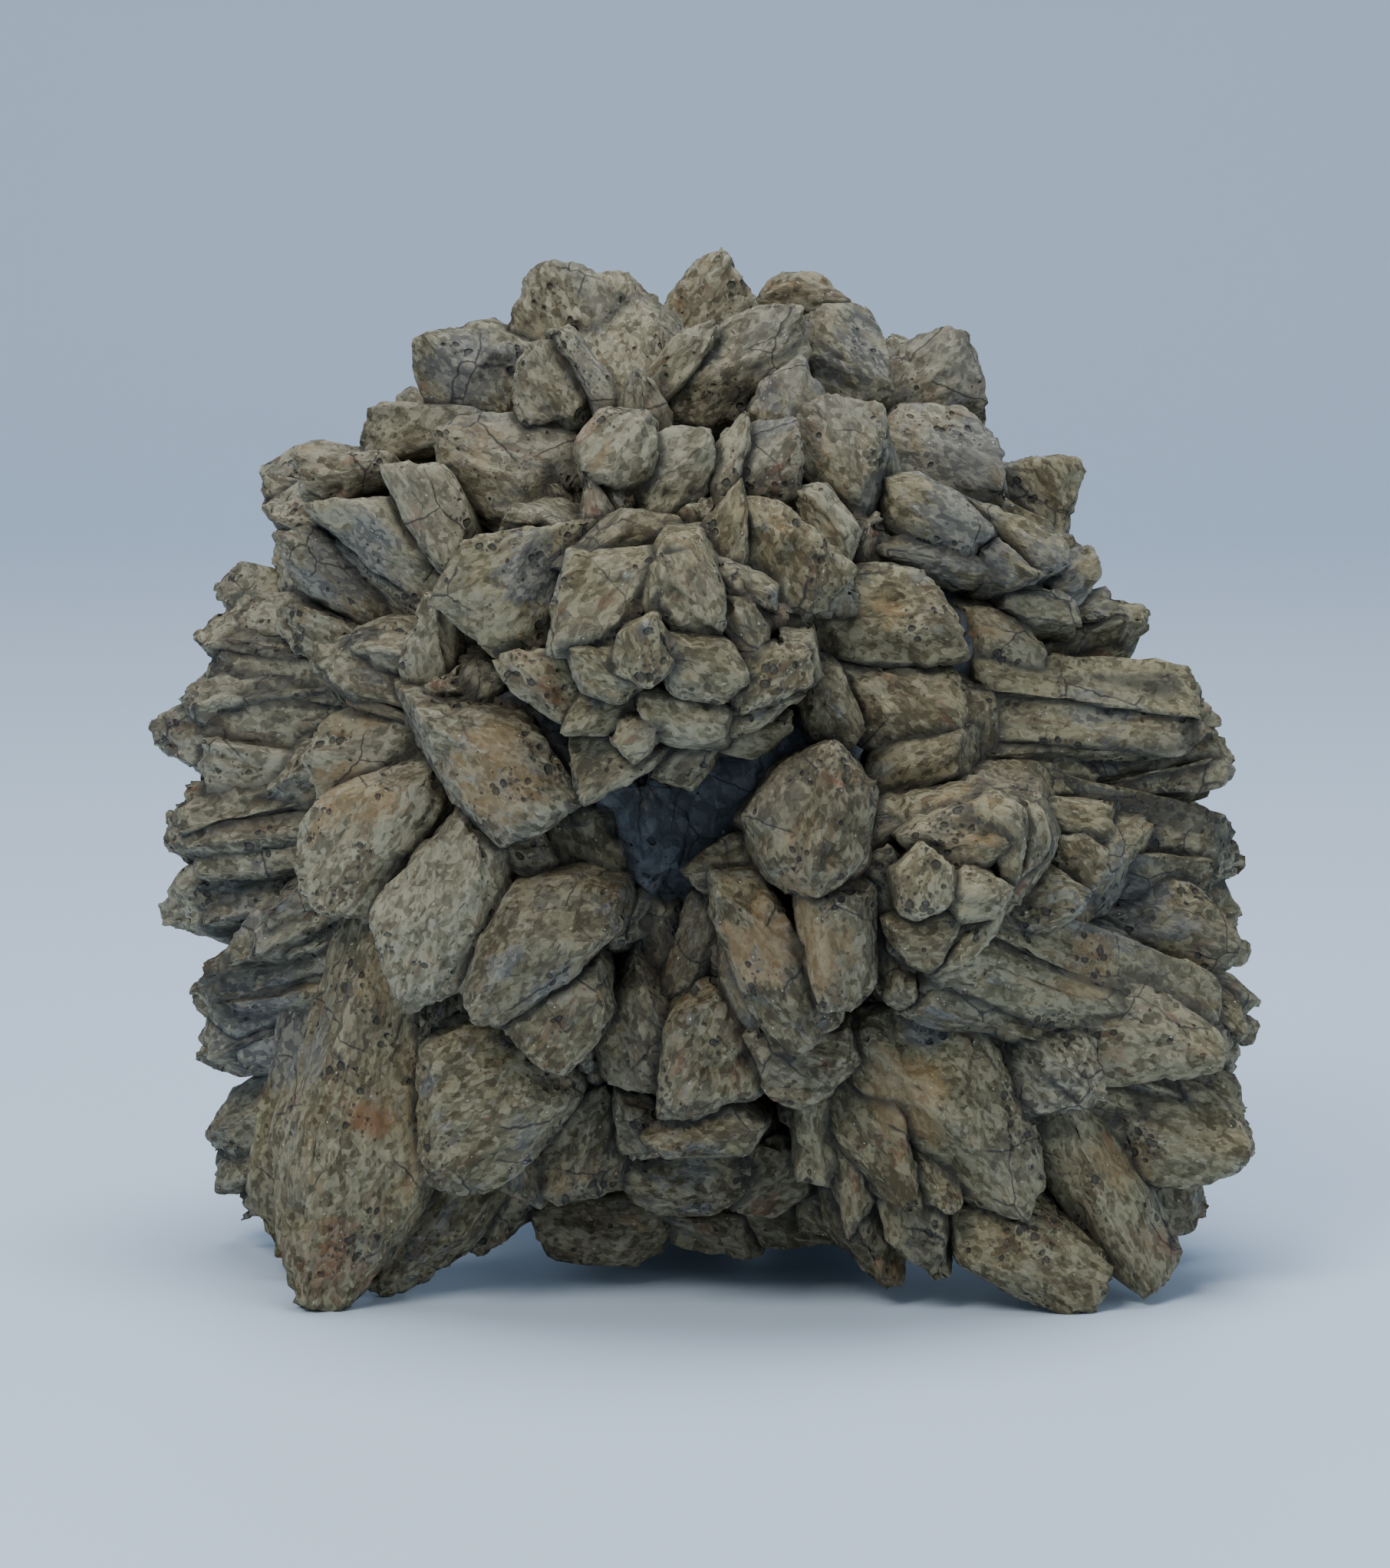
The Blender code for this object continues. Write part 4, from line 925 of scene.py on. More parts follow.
def crystalFields(crystal, points, wear, everyone):
    # what the relief and the materials read at each point
    rng = random.Random(9000 + crystal["number"])
    shift = np.array([rng.uniform(-90, 90) for way in range(3)])
    local = (points - np.array(crystal["tip"][:])) / mm
    grain = local @ np.array([way[:] for way in crystal["ways"]]).T
    fromCentre = (points - np.array(growthCentre[:])) / np.array(ball["reach"])
    share = np.linalg.norm(fromCentre, axis=1)
    space = clearance(points, crystal, everyone)
    seen = not crystal["piece"].startswith(("rear", "inner"))
    tone = crystal.get("tone")
    if tone is None:
        tone = rng.uniform(0.0, 1.0)
    fields = {
        "grain": grain + shift,
        "fromTip": np.full(len(points), 20.0) if crystal["outline"] else -grain[:, 2],
        "wear": wear,
        # crevice: grime and painted shade in the seams, near a neighbouring crystal
        "crevice": np.clip(1.0 - space / skin["dirtAndShadeReach"], 0.0, 1.0),
        # painted shade and grime, darker towards the inside of the ball
        "deepShade": np.clip((skin["deepStart"] - share) / (skin["deepStart"] - skin["deepEnd"]), 0.0, 1.0),
        "tone": np.full(len(points), tone),
    }
    for kind in patches:
        plain = rng.uniform(0.0, patchEdge["plainSeen"] if seen else patchEdge["plainUnseen"])
        placed = patchStrength(points, kind) if seen else np.zeros(len(points))
        fields[kind] = np.maximum(placed, plain)
    return fields


def meshOf(name, points, quads, fields):
    mesh = bpy.data.meshes.new(name)
    mesh.vertices.add(len(points))
    mesh.vertices.foreach_set("co", points.astype(np.float32).ravel())
    mesh.loops.add(quads.size)
    mesh.loops.foreach_set("vertex_index", quads.astype(np.int32).ravel())
    mesh.polygons.add(len(quads))
    starts = np.arange(0, quads.size, quads.shape[1], dtype=np.int32)
    mesh.polygons.foreach_set("loop_start", starts)
    mesh.polygons.foreach_set("use_smooth", np.ones(len(quads), dtype=bool))
    mesh.update(calc_edges=True)
    for field, values in fields.items():
        isVector = values.ndim == 2
        attribute = mesh.attributes.new(field, "FLOAT_VECTOR" if isVector else "FLOAT", "POINT")
        attribute.data.foreach_set("vector" if isVector else "value", values.astype(np.float32).ravel())
    return mesh


def crystalMesh(name, members, everyone):
    # one mesh of all the crystals of a piece
    parts, start = [], 0
    for crystal in members:
        size = math.sqrt(crystal["width"] * (crystal["tip"] - crystal["root"]).length) / mm
        if crystal["outline"]:
            size = crystal["width"] / mm * outlinedShape["cellShare"]
        cells = round(size / crystal["cellSize"])
        cells = max(skin["fewestCells"], min(skin["mostCells"], cells))
        points, quads, wear = crystalSkin(crystal, cells)
        parts.append((points, quads + start, crystalFields(crystal, points, wear, everyone)))
        start += len(points)
    points = np.concatenate([part[0] for part in parts])
    quads = np.concatenate([part[1] for part in parts])
    fields = {key: np.concatenate([part[2][key] for part in parts]) for key in parts[0][2]}
    return meshOf(name, points, quads, fields)


heart = {
    "radius": (0.055, 0.045, 0.052),
    "hollow": (-4.0, -2.0, 49.0),
    "spread": 0.58,
    "flat": 0.3,                # this share of the spread is sunk all the way
    "bumps": (0.93, 1.05),
    "across": 0.16,             # so that the whole ball counts as near it
    "cuts": 12,
    "look": {"dark": (0.045, 0.052, 0.058), "middle": (0.083, 0.095, 0.105), "light": (0.140, 0.154, 0.165),
             "streaks": 0.0, "worn": (0.10, 0.11, 0.12), "crackSize": 8.0, "strokeWidth": 2.6,
             "strokeLength": 2.8, "deepShadeShare": 0.0, "greyer": 0.05},
}


def heartMesh(everyone):
    # the dark mudstone lump that the crystals grew out of, sunk in at the front hollow
    rng = random.Random(ball["seed"] + 1)
    hollow = placeSeen(*heart["hollow"]) - growthCentre
    lump = bmesh.new()
    bmesh.ops.create_icosphere(lump, subdivisions=2, radius=1.0)
    for vertex in lump.verts:
        bump = rng.uniform(*heart["bumps"])
        away = vertex.co.angle(hollow) / heart["spread"]
        outer = Vector([part * radius * bump for part, radius in zip(vertex.co, heart["radius"])])
        sunk = hollow.length * bump / outer.length
        fullness = min(1.0, max(0.0, away - heart["flat"]) / (1.0 - heart["flat"]))
        vertex.co = growthCentre + outer * (sunk + (1.0 - sunk) * fullness)
    bmesh.ops.subdivide_edges(lump, edges=lump.edges[:], cuts=heart["cuts"], use_grid_fill=True)
    bmesh.ops.triangulate(lump, faces=lump.faces[:])
    points = np.array([vertex.co[:] for vertex in lump.verts])
    triangles = np.array([[vertex.index for vertex in face.verts] for face in lump.faces])
    lump.free()
    count = len(points)
    block = {"tip": growthCentre, "root": growthCentre, "length": heart["across"]}
    space = clearance(points, block, everyone)
    fields = {
        "grain": (points - np.array(growthCentre[:])) / mm,
        "fromTip": np.full(count, 50.0),
        # crevice: grime and painted shade where the heart meets the crystals
        "wear": np.zeros(count),
        "crevice": np.clip(1.0 - space / skin["dirtAndShadeReach"], 0.0, 1.0),
        # no painted shade towards the inside on the heart
        "deepShade": np.full(count, 0.0),
        "tone": np.full(count, 0.5),
    }
    for kind in patches:
        fields[kind] = np.full(count, 0.0)
    return meshOf("mudstoneHeart", points, triangles, fields)


def fill(tree, node, values):
    # the node's inputs, linked from sockets or set to plain values
    for place, value in values.items():
        if isinstance(value, bpy.types.NodeSocket):
            tree.links.new(value, node.inputs[place])
        else:
            node.inputs[place].default_value = value


def addNode(tree, kind, values=None, **settings):
    node = tree.nodes.new(kind)
    for setting, value in settings.items():
        setattr(node, setting, value)
    fill(tree, node, values or {})
    return node


def maths(tree, operation, *values, clamp=False):
    places = dict(enumerate(values))
    return addNode(tree, "ShaderNodeMath", places, operation=operation, use_clamp=clamp).outputs[0]


def vectors(tree, operation, *values):
    return addNode(tree, "ShaderNodeVectorMath", dict(enumerate(values)), operation=operation).outputs[0]


def scaledBy(tree, vector, factor):
    return addNode(tree, "ShaderNodeVectorMath", {0: vector, "Scale": factor}, operation="SCALE").outputs[0]


def dotted(tree, vector, other):
    values = {0: vector, 1: other}
    return addNode(tree, "ShaderNodeVectorMath", values, operation="DOT_PRODUCT").outputs["Value"]


def product(tree, *factors):
    total = factors[0]
    for factor in factors[1:]:
        total = maths(tree, "MULTIPLY", total, factor)
    return total


def divided(tree, vector, across, along):
    # the grain vector in units of a cell that is so wide and so long
    size = addNode(tree, "ShaderNodeCombineXYZ", {0: across, 1: across, 2: along}).outputs[0]
    return vectors(tree, "DIVIDE", vector, size)


def noiseOf(tree, vector, scale=1.0, detail=2.0, roughness=0.5):
    values = {"Vector": vector, "Scale": scale, "Detail": detail, "Roughness": roughness}
    return addNode(tree, "ShaderNodeTexNoise", values).outputs


def cellsOf(tree, vector, feature="F1", randomness=1.0):
    values = {"Vector": vector, "Scale": 1.0, "Randomness": randomness}
    return addNode(tree, "ShaderNodeTexVoronoi", values, feature=feature).outputs


def warpOf(tree, vector, size, amount):
    # pushes the vector about, so that nothing on it runs dead straight
    push = noiseOf(tree, scaledBy(tree, vector, 1.0 / size))["Color"]
    push = vectors(tree, "SUBTRACT", push, (0.5, 0.5, 0.5))
    return vectors(tree, "ADD", vector, scaledBy(tree, push, amount * 2))


def ramped(tree, value, low, high, start=0.0, end=1.0):
    values = {"Value": value, "From Min": low, "From Max": high, "To Min": start, "To Max": end}
    return addNode(tree, "ShaderNodeMapRange", values, interpolation_type="SMOOTHSTEP").outputs[0]


def newSockets(tree, inputs, outputs):
    kinds = {"geometry": "NodeSocketGeometry", "material": "NodeSocketMaterial",
             "vector": "NodeSocketVector", "float": "NodeSocketFloat", "colour": "NodeSocketColor"}
    for direction, sockets in (("INPUT", inputs), ("OUTPUT", outputs)):
        for name, kind in sockets:
            tree.interface.new_socket(name=name, in_out=direction, socket_type=kinds[kind])
    return tree.nodes.new("NodeGroupInput").outputs, tree.nodes.new("NodeGroupOutput").inputs


# Relief of a calcite crystal: depths and sizes in millimetres
calciteRelief = {
    "swell": 0.30, "swellSize": 9.0,
    "facetSlope": 1.0, "facetWidth": 4.2, "facetLength": 8.0,
    "flakeDepth": 0.42, "flakeWidth": 2.1, "flakeLength": 5.0,
    "ledgeDepth": 0.60, "ledgeSpacing": 2.6,
    "pitDepth": 0.80, "pitSpacing": 4.2,
    "chipDepth": 1.5, "chipReach": 9.0, "chipSize": 2.4,
    "edgeWear": 1.1, "edgeSize": 2.0,
}
mudstoneRelief = {
    "swell": 1.2, "swellSize": 11.0,
    "facetSlope": 4.0, "facetWidth": 9.0, "facetLength": 9.0,
    "flakeDepth": 1.0, "flakeWidth": 5.0, "flakeLength": 5.5,
    "ledgeDepth": 0.5, "ledgeSpacing": 5.0,
    "pitDepth": 0.3, "pitSpacing": 4.0,
    "chipDepth": 0.0, "chipReach": 1.0, "chipSize": 3.0,
    "edgeWear": 0.0, "edgeSize": 2.0,
}

# What the relief of both kinds of stone shares. A size is across and along the grain, an area is where it
# starts and is full, out of a noise from 0 to 1, and the rest are shares of a cell
reliefShape = {
    "warp": (4.5, 1.1),         # size and amount
    "swellGain": 2.4,
    "facetSunk": 0.05,
    "flakeRim": 0.16, "flakeSunk": 0.85, "flakeGroove": 0.35,
    "ledgeWay": (0.78, 0.62, 0.05), "ledgeDrop": 0.72,
    "ledgeAreaSize": (8.0, 15.0), "ledgeArea": (0.46, 0.60),
    "pitAreaSize": (7.0, 10.0), "pitArea": (0.44, 0.68), "pitRadius": 0.42, "pitRim": 0.20,
    "edgeArea": (0.45, 0.68),
    "cloudSize": (5.0, 9.0), "clusterSize": (6.0, 8.0), "coolSize": (14.0, 14.0),
    "patchStretch": 1.8, "patchPush": 0.45,
}

# Grain of the edges of each kind of patch, in millimetres
patchSizes = {"ochre": 4.0, "rust": 3.0, "crust": 3.4}


def stoneReliefTree():
    # pushes each point in along its own normal: swells, flakes, ledges, pits, and chips at the tip
    tree = bpy.data.node_groups.new("stoneRelief", "GeometryNodeTree")
    tree.is_modifier = True
    sizes = [(name, "float") for name in calciteRelief]
    given, made = newSockets(tree, [("geometry", "geometry"), ("material", "material")] + sizes,
                             [("geometry", "geometry")])
    fieldOf = {}
    for name, kind in (("grain", "FLOAT_VECTOR"), ("fromTip", "FLOAT"), ("wear", "FLOAT")):
        node = addNode(tree, "GeometryNodeInputNamedAttribute", {"Name": name}, data_type=kind)
        fieldOf[name] = node.outputs["Attribute"]
    grain = fieldOf["grain"]
    shape = reliefShape
    warped = warpOf(tree, grain, *shape["warp"])

    swellNoise = noiseOf(tree, divided(tree, grain, given["swellSize"], given["swellSize"]))[0]
    swell = product(tree, maths(tree, "SUBTRACT", swellNoise, 0.5), given["swell"], shape["swellGain"])

    facetPlace = divided(tree, warped, given["facetWidth"], given["facetLength"])
    facetCells = cellsOf(tree, facetPlace)
    facetLean = vectors(tree, "SUBTRACT", facetCells["Color"], (0.5, 0.5, 0.5))
    facetOffset = vectors(tree, "SUBTRACT", facetPlace, facetCells["Position"])
    facets = maths(tree, "SUBTRACT", dotted(tree, facetLean, facetOffset), shape["facetSunk"])
    facets = product(tree, facets, given["facetSlope"])

    flakePlace = divided(tree, warped, given["flakeWidth"], given["flakeLength"])
    flakeTone = addNode(tree, "ShaderNodeSeparateXYZ", {0: cellsOf(tree, flakePlace)["Color"]}).outputs[0]
    flakeEdge = cellsOf(tree, flakePlace, "DISTANCE_TO_EDGE")["Distance"]
    flakeRim = ramped(tree, flakeEdge, 0.0, shape["flakeRim"])
    flakeHeight = product(tree, maths(tree, "SUBTRACT", flakeTone, shape["flakeSunk"]), given["flakeDepth"])
    flakeGroove = product(tree, maths(tree, "SUBTRACT", flakeRim, 1.0), given["flakeDepth"])
    flakes = maths(tree, "ADD", product(tree, flakeHeight, flakeRim),
                   product(tree, flakeGroove, shape["flakeGroove"]))

    slope = dotted(tree, warped, shape["ledgeWay"])
    steps = maths(tree, "FRACT", maths(tree, "DIVIDE", slope, given["ledgeSpacing"]))
    rise = maths(tree, "SUBTRACT", steps, ramped(tree, steps, shape["ledgeDrop"], 1.0))
    ledgeNoise = noiseOf(tree, divided(tree, grain, *shape["ledgeAreaSize"]), detail=1.0)[0]
    ledgeArea = ramped(tree, ledgeNoise, *shape["ledgeArea"])
    ledges = product(tree, rise, ledgeArea, given["ledgeDepth"], -1.0)

    pitPlace = divided(tree, warped, given["pitSpacing"], given["pitSpacing"])
    pitCells = cellsOf(tree, pitPlace)
    pitArea = noiseOf(tree, divided(tree, grain, *shape["pitAreaSize"]), detail=1.0)[0]
    pitRadius = ramped(tree, pitArea, *shape["pitArea"], 0.0, shape["pitRadius"])
    pitInner = maths(tree, "SUBTRACT", pitRadius, shape["pitRim"])
    pitDip = ramped(tree, pitCells["Distance"], pitInner, pitRadius, 1.0, 0.0)
    pits = product(tree, pitDip, given["pitDepth"], -1.0)

    chipPlace = divided(tree, warped, given["chipSize"], given["chipSize"])
    chipTone = addNode(tree, "ShaderNodeSeparateXYZ", {0: cellsOf(tree, chipPlace)["Color"]}).outputs[1]
    nearTip = ramped(tree, fieldOf["fromTip"], 0.0, given["chipReach"], 1.0, 0.0)
    chips = product(tree, maths(tree, "POWER", chipTone, 2.0), nearTip, given["chipDepth"], -1.0)

    edgeNoise = noiseOf(tree, divided(tree, warped, given["edgeSize"], given["edgeSize"]))[0]
    edges = ramped(tree, edgeNoise, *shape["edgeArea"])
    edges = product(tree, edges, fieldOf["wear"], given["edgeWear"], -1.0)

    stored = {"cloud": noiseOf(tree, divided(tree, grain, *shape["cloudSize"]), detail=4.0, roughness=0.6)[0],
              "cluster": noiseOf(tree, divided(tree, grain, *shape["clusterSize"]))[0],
              "cool": noiseOf(tree, divided(tree, grain, *shape["coolSize"]))[0]}
    for kind, size in patchSizes.items():
        amount = addNode(tree, "GeometryNodeInputNamedAttribute", {"Name": kind}, data_type="FLOAT")
        place = divided(tree, grain, size, size * shape["patchStretch"])
        broken = noiseOf(tree, place, detail=5.0, roughness=0.68)[0]
        stored[kind] = maths(tree, "MULTIPLY_ADD", amount.outputs["Attribute"], shape["patchPush"], broken)
    geometry = given["geometry"]
    for name, value in stored.items():
        values = {"Geometry": geometry, "Name": name, "Value": value}
        node = addNode(tree, "GeometryNodeStoreNamedAttribute", values, data_type="FLOAT", domain="POINT")
        geometry = node.outputs["Geometry"]

    total = swell
    for part in (facets, flakes, ledges, pits, chips, edges):
        total = maths(tree, "ADD", total, part)
    total = product(tree, total, mm)
    normal = tree.nodes.new("GeometryNodeInputNormal").outputs["Normal"]
    offset = scaledBy(tree, normal, total)
    shaped = addNode(tree, "GeometryNodeSetPosition", {"Geometry": geometry, "Offset": offset})
    real = addNode(tree, "GeometryNodeRealizeInstances", {"Geometry": shaped.outputs[0]})
    dressed = addNode(tree, "GeometryNodeSetMaterial",
                      {"Geometry": real.outputs[0], "Material": given["material"]})
    tree.links.new(dressed.outputs[0], made["geometry"])
    return tree


def runTree(piece, tree, values):
    # the tree's result takes the place of the piece's mesh, and the modifier goes
    modifier = piece.modifiers.new(tree.name, "NODES")
    modifier.node_group = tree
    for item in tree.interface.items_tree:
        if item.in_out == "INPUT" and item.name in values:
            modifier[item.identifier] = values[item.name]
    evaluated = piece.evaluated_get(bpy.context.evaluated_depsgraph_get())
    result = bpy.data.meshes.new_from_object(evaluated, preserve_all_data_layers=True,
                                             depsgraph=bpy.context.evaluated_depsgraph_get())
    rough = piece.data
    piece.modifiers.remove(modifier)
    piece.data = result
    result.name = piece.name
    bpy.data.meshes.remove(rough)


def groupOf(name, inputs, outputs):
    tree = bpy.data.node_groups.new(name, "ShaderNodeTree")
    given, made = newSockets(tree, inputs, outputs)
    return tree, given, made


# The strokes and marks of the stone, with sizes in millimetres across and along the grain
strokeShape = {
    "smaller": (2.3, 2.3, 2.3), "moved": (7.0, 3.0, 5.0), "fineSize": (0.65, 0.95),
    "toneLarge": 0.40, "toneSmall": 0.48, "toneCloud": 0.70, "toneFine": 0.55, "toneRange": (0.58, 1.52),
    "reliefLarge": 0.50, "reliefSmall": 0.32, "reliefFine": 0.60,
    "lineSize": (0.75, 10.0), "lineEdge": (0.52, 0.64), "lineArea": (0.44, 0.60),
    "speckEdge": (0.12, 0.22), "speckRarity": 0.95,
    "pitArea": (0.52, 0.78), "pitRadius": 0.38, "pitRim": 0.14,
    "crackArea": (0.50, 0.57), "patchFine": 0.30, "patchEdge": (0.66, 0.80),
}


def stoneStrokes():
    # the mosaic of short strokes along each crystal, with its tone, its relief and long streaks
    tree, given, made = groupOf("stoneStrokes", [("grain", "vector"), ("width", "float"), ("length", "float"),
                                                 ("cloud", "float"), ("area", "float")],
                                [("tone", "float"), ("relief", "float"), ("streak", "float"),
                                 ("fine", "float"), ("spot", "float"), ("speck", "float")])
    shape = strokeShape
    place = divided(tree, given["grain"], given["width"], given["length"])
    largeTone = addNode(tree, "ShaderNodeSeparateColor", {0: cellsOf(tree, place)["Color"]}).outputs[0]
    small = cellsOf(tree, vectors(tree, "MULTIPLY_ADD", place, shape["smaller"], shape["moved"]))
    smallTones = addNode(tree, "ShaderNodeSeparateColor", {0: small["Color"]}).outputs
    fine = noiseOf(tree, divided(tree, given["grain"], *shape["fineSize"]), roughness=0.75)[0]
    tone = maths(tree, "MULTIPLY", largeTone, shape["toneLarge"])
    tone = maths(tree, "MULTIPLY_ADD", smallTones[0], shape["toneSmall"], tone)
    tone = maths(tree, "MULTIPLY_ADD", given["cloud"], shape["toneCloud"], tone)
    tone = maths(tree, "MULTIPLY_ADD", fine, shape["toneFine"], tone)
    tone = ramped(tree, tone, *shape["toneRange"])
    relief = maths(tree, "MULTIPLY", largeTone, shape["reliefLarge"])
    relief = maths(tree, "MULTIPLY_ADD", smallTones[0], shape["reliefSmall"], relief)
    relief = maths(tree, "MULTIPLY_ADD", fine, shape["reliefFine"], relief)
    lines = noiseOf(tree, divided(tree, given["grain"], *shape["lineSize"]), detail=1.0)[0]
    lineArea = ramped(tree, given["area"], *shape["lineArea"])
    streak = product(tree, ramped(tree, lines, *shape["lineEdge"]), lineArea)
    speck = ramped(tree, small["Distance"], *shape["speckEdge"], 1.0, 0.0)
    speck = product(tree, speck, maths(tree, "GREATER_THAN", smallTones[2], shape["speckRarity"]))
    results = {"tone": tone, "relief": relief, "streak": streak, "fine": fine, "spot": smallTones[1],
               "speck": speck}
    for name, value in results.items():
        tree.links.new(value, made[name])
    return tree


def stonePits():
    # small dark holes that keep together in clusters
    tree, given, made = groupOf("stonePits", [("grain", "vector"), ("spacing", "float"),
                                              ("cluster", "float")], [("mask", "float")])
    distance = cellsOf(tree, divided(tree, given["grain"], given["spacing"], given["spacing"]))["Distance"]
    radius = ramped(tree, given["cluster"], *strokeShape["pitArea"], 0.0, strokeShape["pitRadius"])
    start = maths(tree, "SUBTRACT", radius, strokeShape["pitRim"])
    tree.links.new(ramped(tree, distance, start, radius, 1.0, 0.0), made["mask"])
    return tree


def hairCracks():
    # thin dark cracks that come and go
    tree, given, made = groupOf("hairCracks", [("grain", "vector"), ("size", "float"), ("width", "float"),
                                               ("area", "float")], [("mask", "float")])
    place = divided(tree, given["grain"], given["size"], given["size"])
    edge = cellsOf(tree, place, "DISTANCE_TO_EDGE")["Distance"]
    line = ramped(tree, product(tree, edge, given["size"]), 0.0, given["width"], 1.0, 0.0)
    area = ramped(tree, given["area"], *strokeShape["crackArea"])
    tree.links.new(product(tree, line, area), made["mask"])
    return tree


def brokenPatch():
    # a patch whose level comes from the surface, with a crisp edge
    tree, given, made = groupOf("brokenPatch", [("level", "float"), ("fine", "float")], [("mask", "float")])
    fine = maths(tree, "SUBTRACT", given["fine"], 0.5)
    level = maths(tree, "MULTIPLY_ADD", fine, strokeShape["patchFine"], given["level"])
    tree.links.new(ramped(tree, level, *strokeShape["patchEdge"]), made["mask"])
    return tree


shared = {}


def useGroup(tree, maker, values):
    if maker.__name__ not in shared:
        shared[maker.__name__] = maker()
    node = tree.nodes.new("ShaderNodeGroup")
    node.node_tree = shared[maker.__name__]
    fill(tree, node, values)
    return node.outputs


def attributeOf(tree, name):
    node = addNode(tree, "ShaderNodeAttribute", attribute_name=name, attribute_type="GEOMETRY")
    return node.outputs["Vector"] if name == "grain" else node.outputs["Fac"]


def mixed(tree, base, colour, amount, strength=1.0, blend="MIX"):
    if strength != 1.0:
        amount = maths(tree, "MULTIPLY", amount, strength)
    node = addNode(tree, "ShaderNodeMix", data_type="RGBA", blend_type=blend)
    for place, value in (("Factor_Float", amount), ("A_Color", base), ("B_Color", colour)):
        socket = next(item for item in node.inputs if item.identifier == place)
        if isinstance(value, bpy.types.NodeSocket):
            tree.links.new(value, socket)
        else:
            socket.default_value = value if place == "Factor_Float" else (*value, 1.0)
    return next(item for item in node.outputs if item.identifier == "Result_Color")


calciteLook = {
    "dark": (0.078, 0.069, 0.045), "middle": (0.168, 0.153, 0.100), "light": (0.300, 0.280, 0.195),
    "streak": (0.105, 0.070, 0.040), "ochre": (0.285, 0.185, 0.080), "rust": (0.175, 0.062, 0.030),
    # dirtAndShade colours the pits and cracks, and the seams, where it is grime and painted shade
    "crust": (0.20, 0.20, 0.185), "crustDark": (0.028, 0.030, 0.034), "dirtAndShade": (0.022, 0.023, 0.026),
    # deepShade is painted shade and grime towards the inside of the ball
    "deepShade": (0.055, 0.060, 0.062), "worn": (0.46, 0.42, 0.32), "speck": (0.62, 0.61, 0.56),
    "strokeWidth": 1.25, "strokeLength": 2.1, "streaks": 0.60, "pits": 0.10, "pitSpacing": 1.9,
    "crackSize": 12.0, "crackWidth": 0.21, "greyer": 0.12, "deepShadeShare": 0.60, "bump": 0.85,
    "ochreShare": 0.45, "rustShare": 0.5, "crustShare": 0.6, "blackShare": 0.55, "blackSpots": 0.52,
    "wornShare": 0.35, "speckShare": 0.6, "pitShare": 0.72, "crackShare": 0.85, "dirtAndShadeShare": 0.62,
    "crystalTone": 0.44, "darkEnd": 0.04, "middlePlace": 0.48, "lightEnd": 0.96, "warp": (2.4, 0.55),
    "coolArea": (0.45, 0.65), "finePits": 0.42, "dirtAndShadeFine": 0.7, "dirtAndShadeEdge": (0.25, 0.95),
    "reliefHeight": 0.34, "pitHeight": -0.75, "roughness": 0.90, "smoother": -0.16, "specular": 0.32,
}


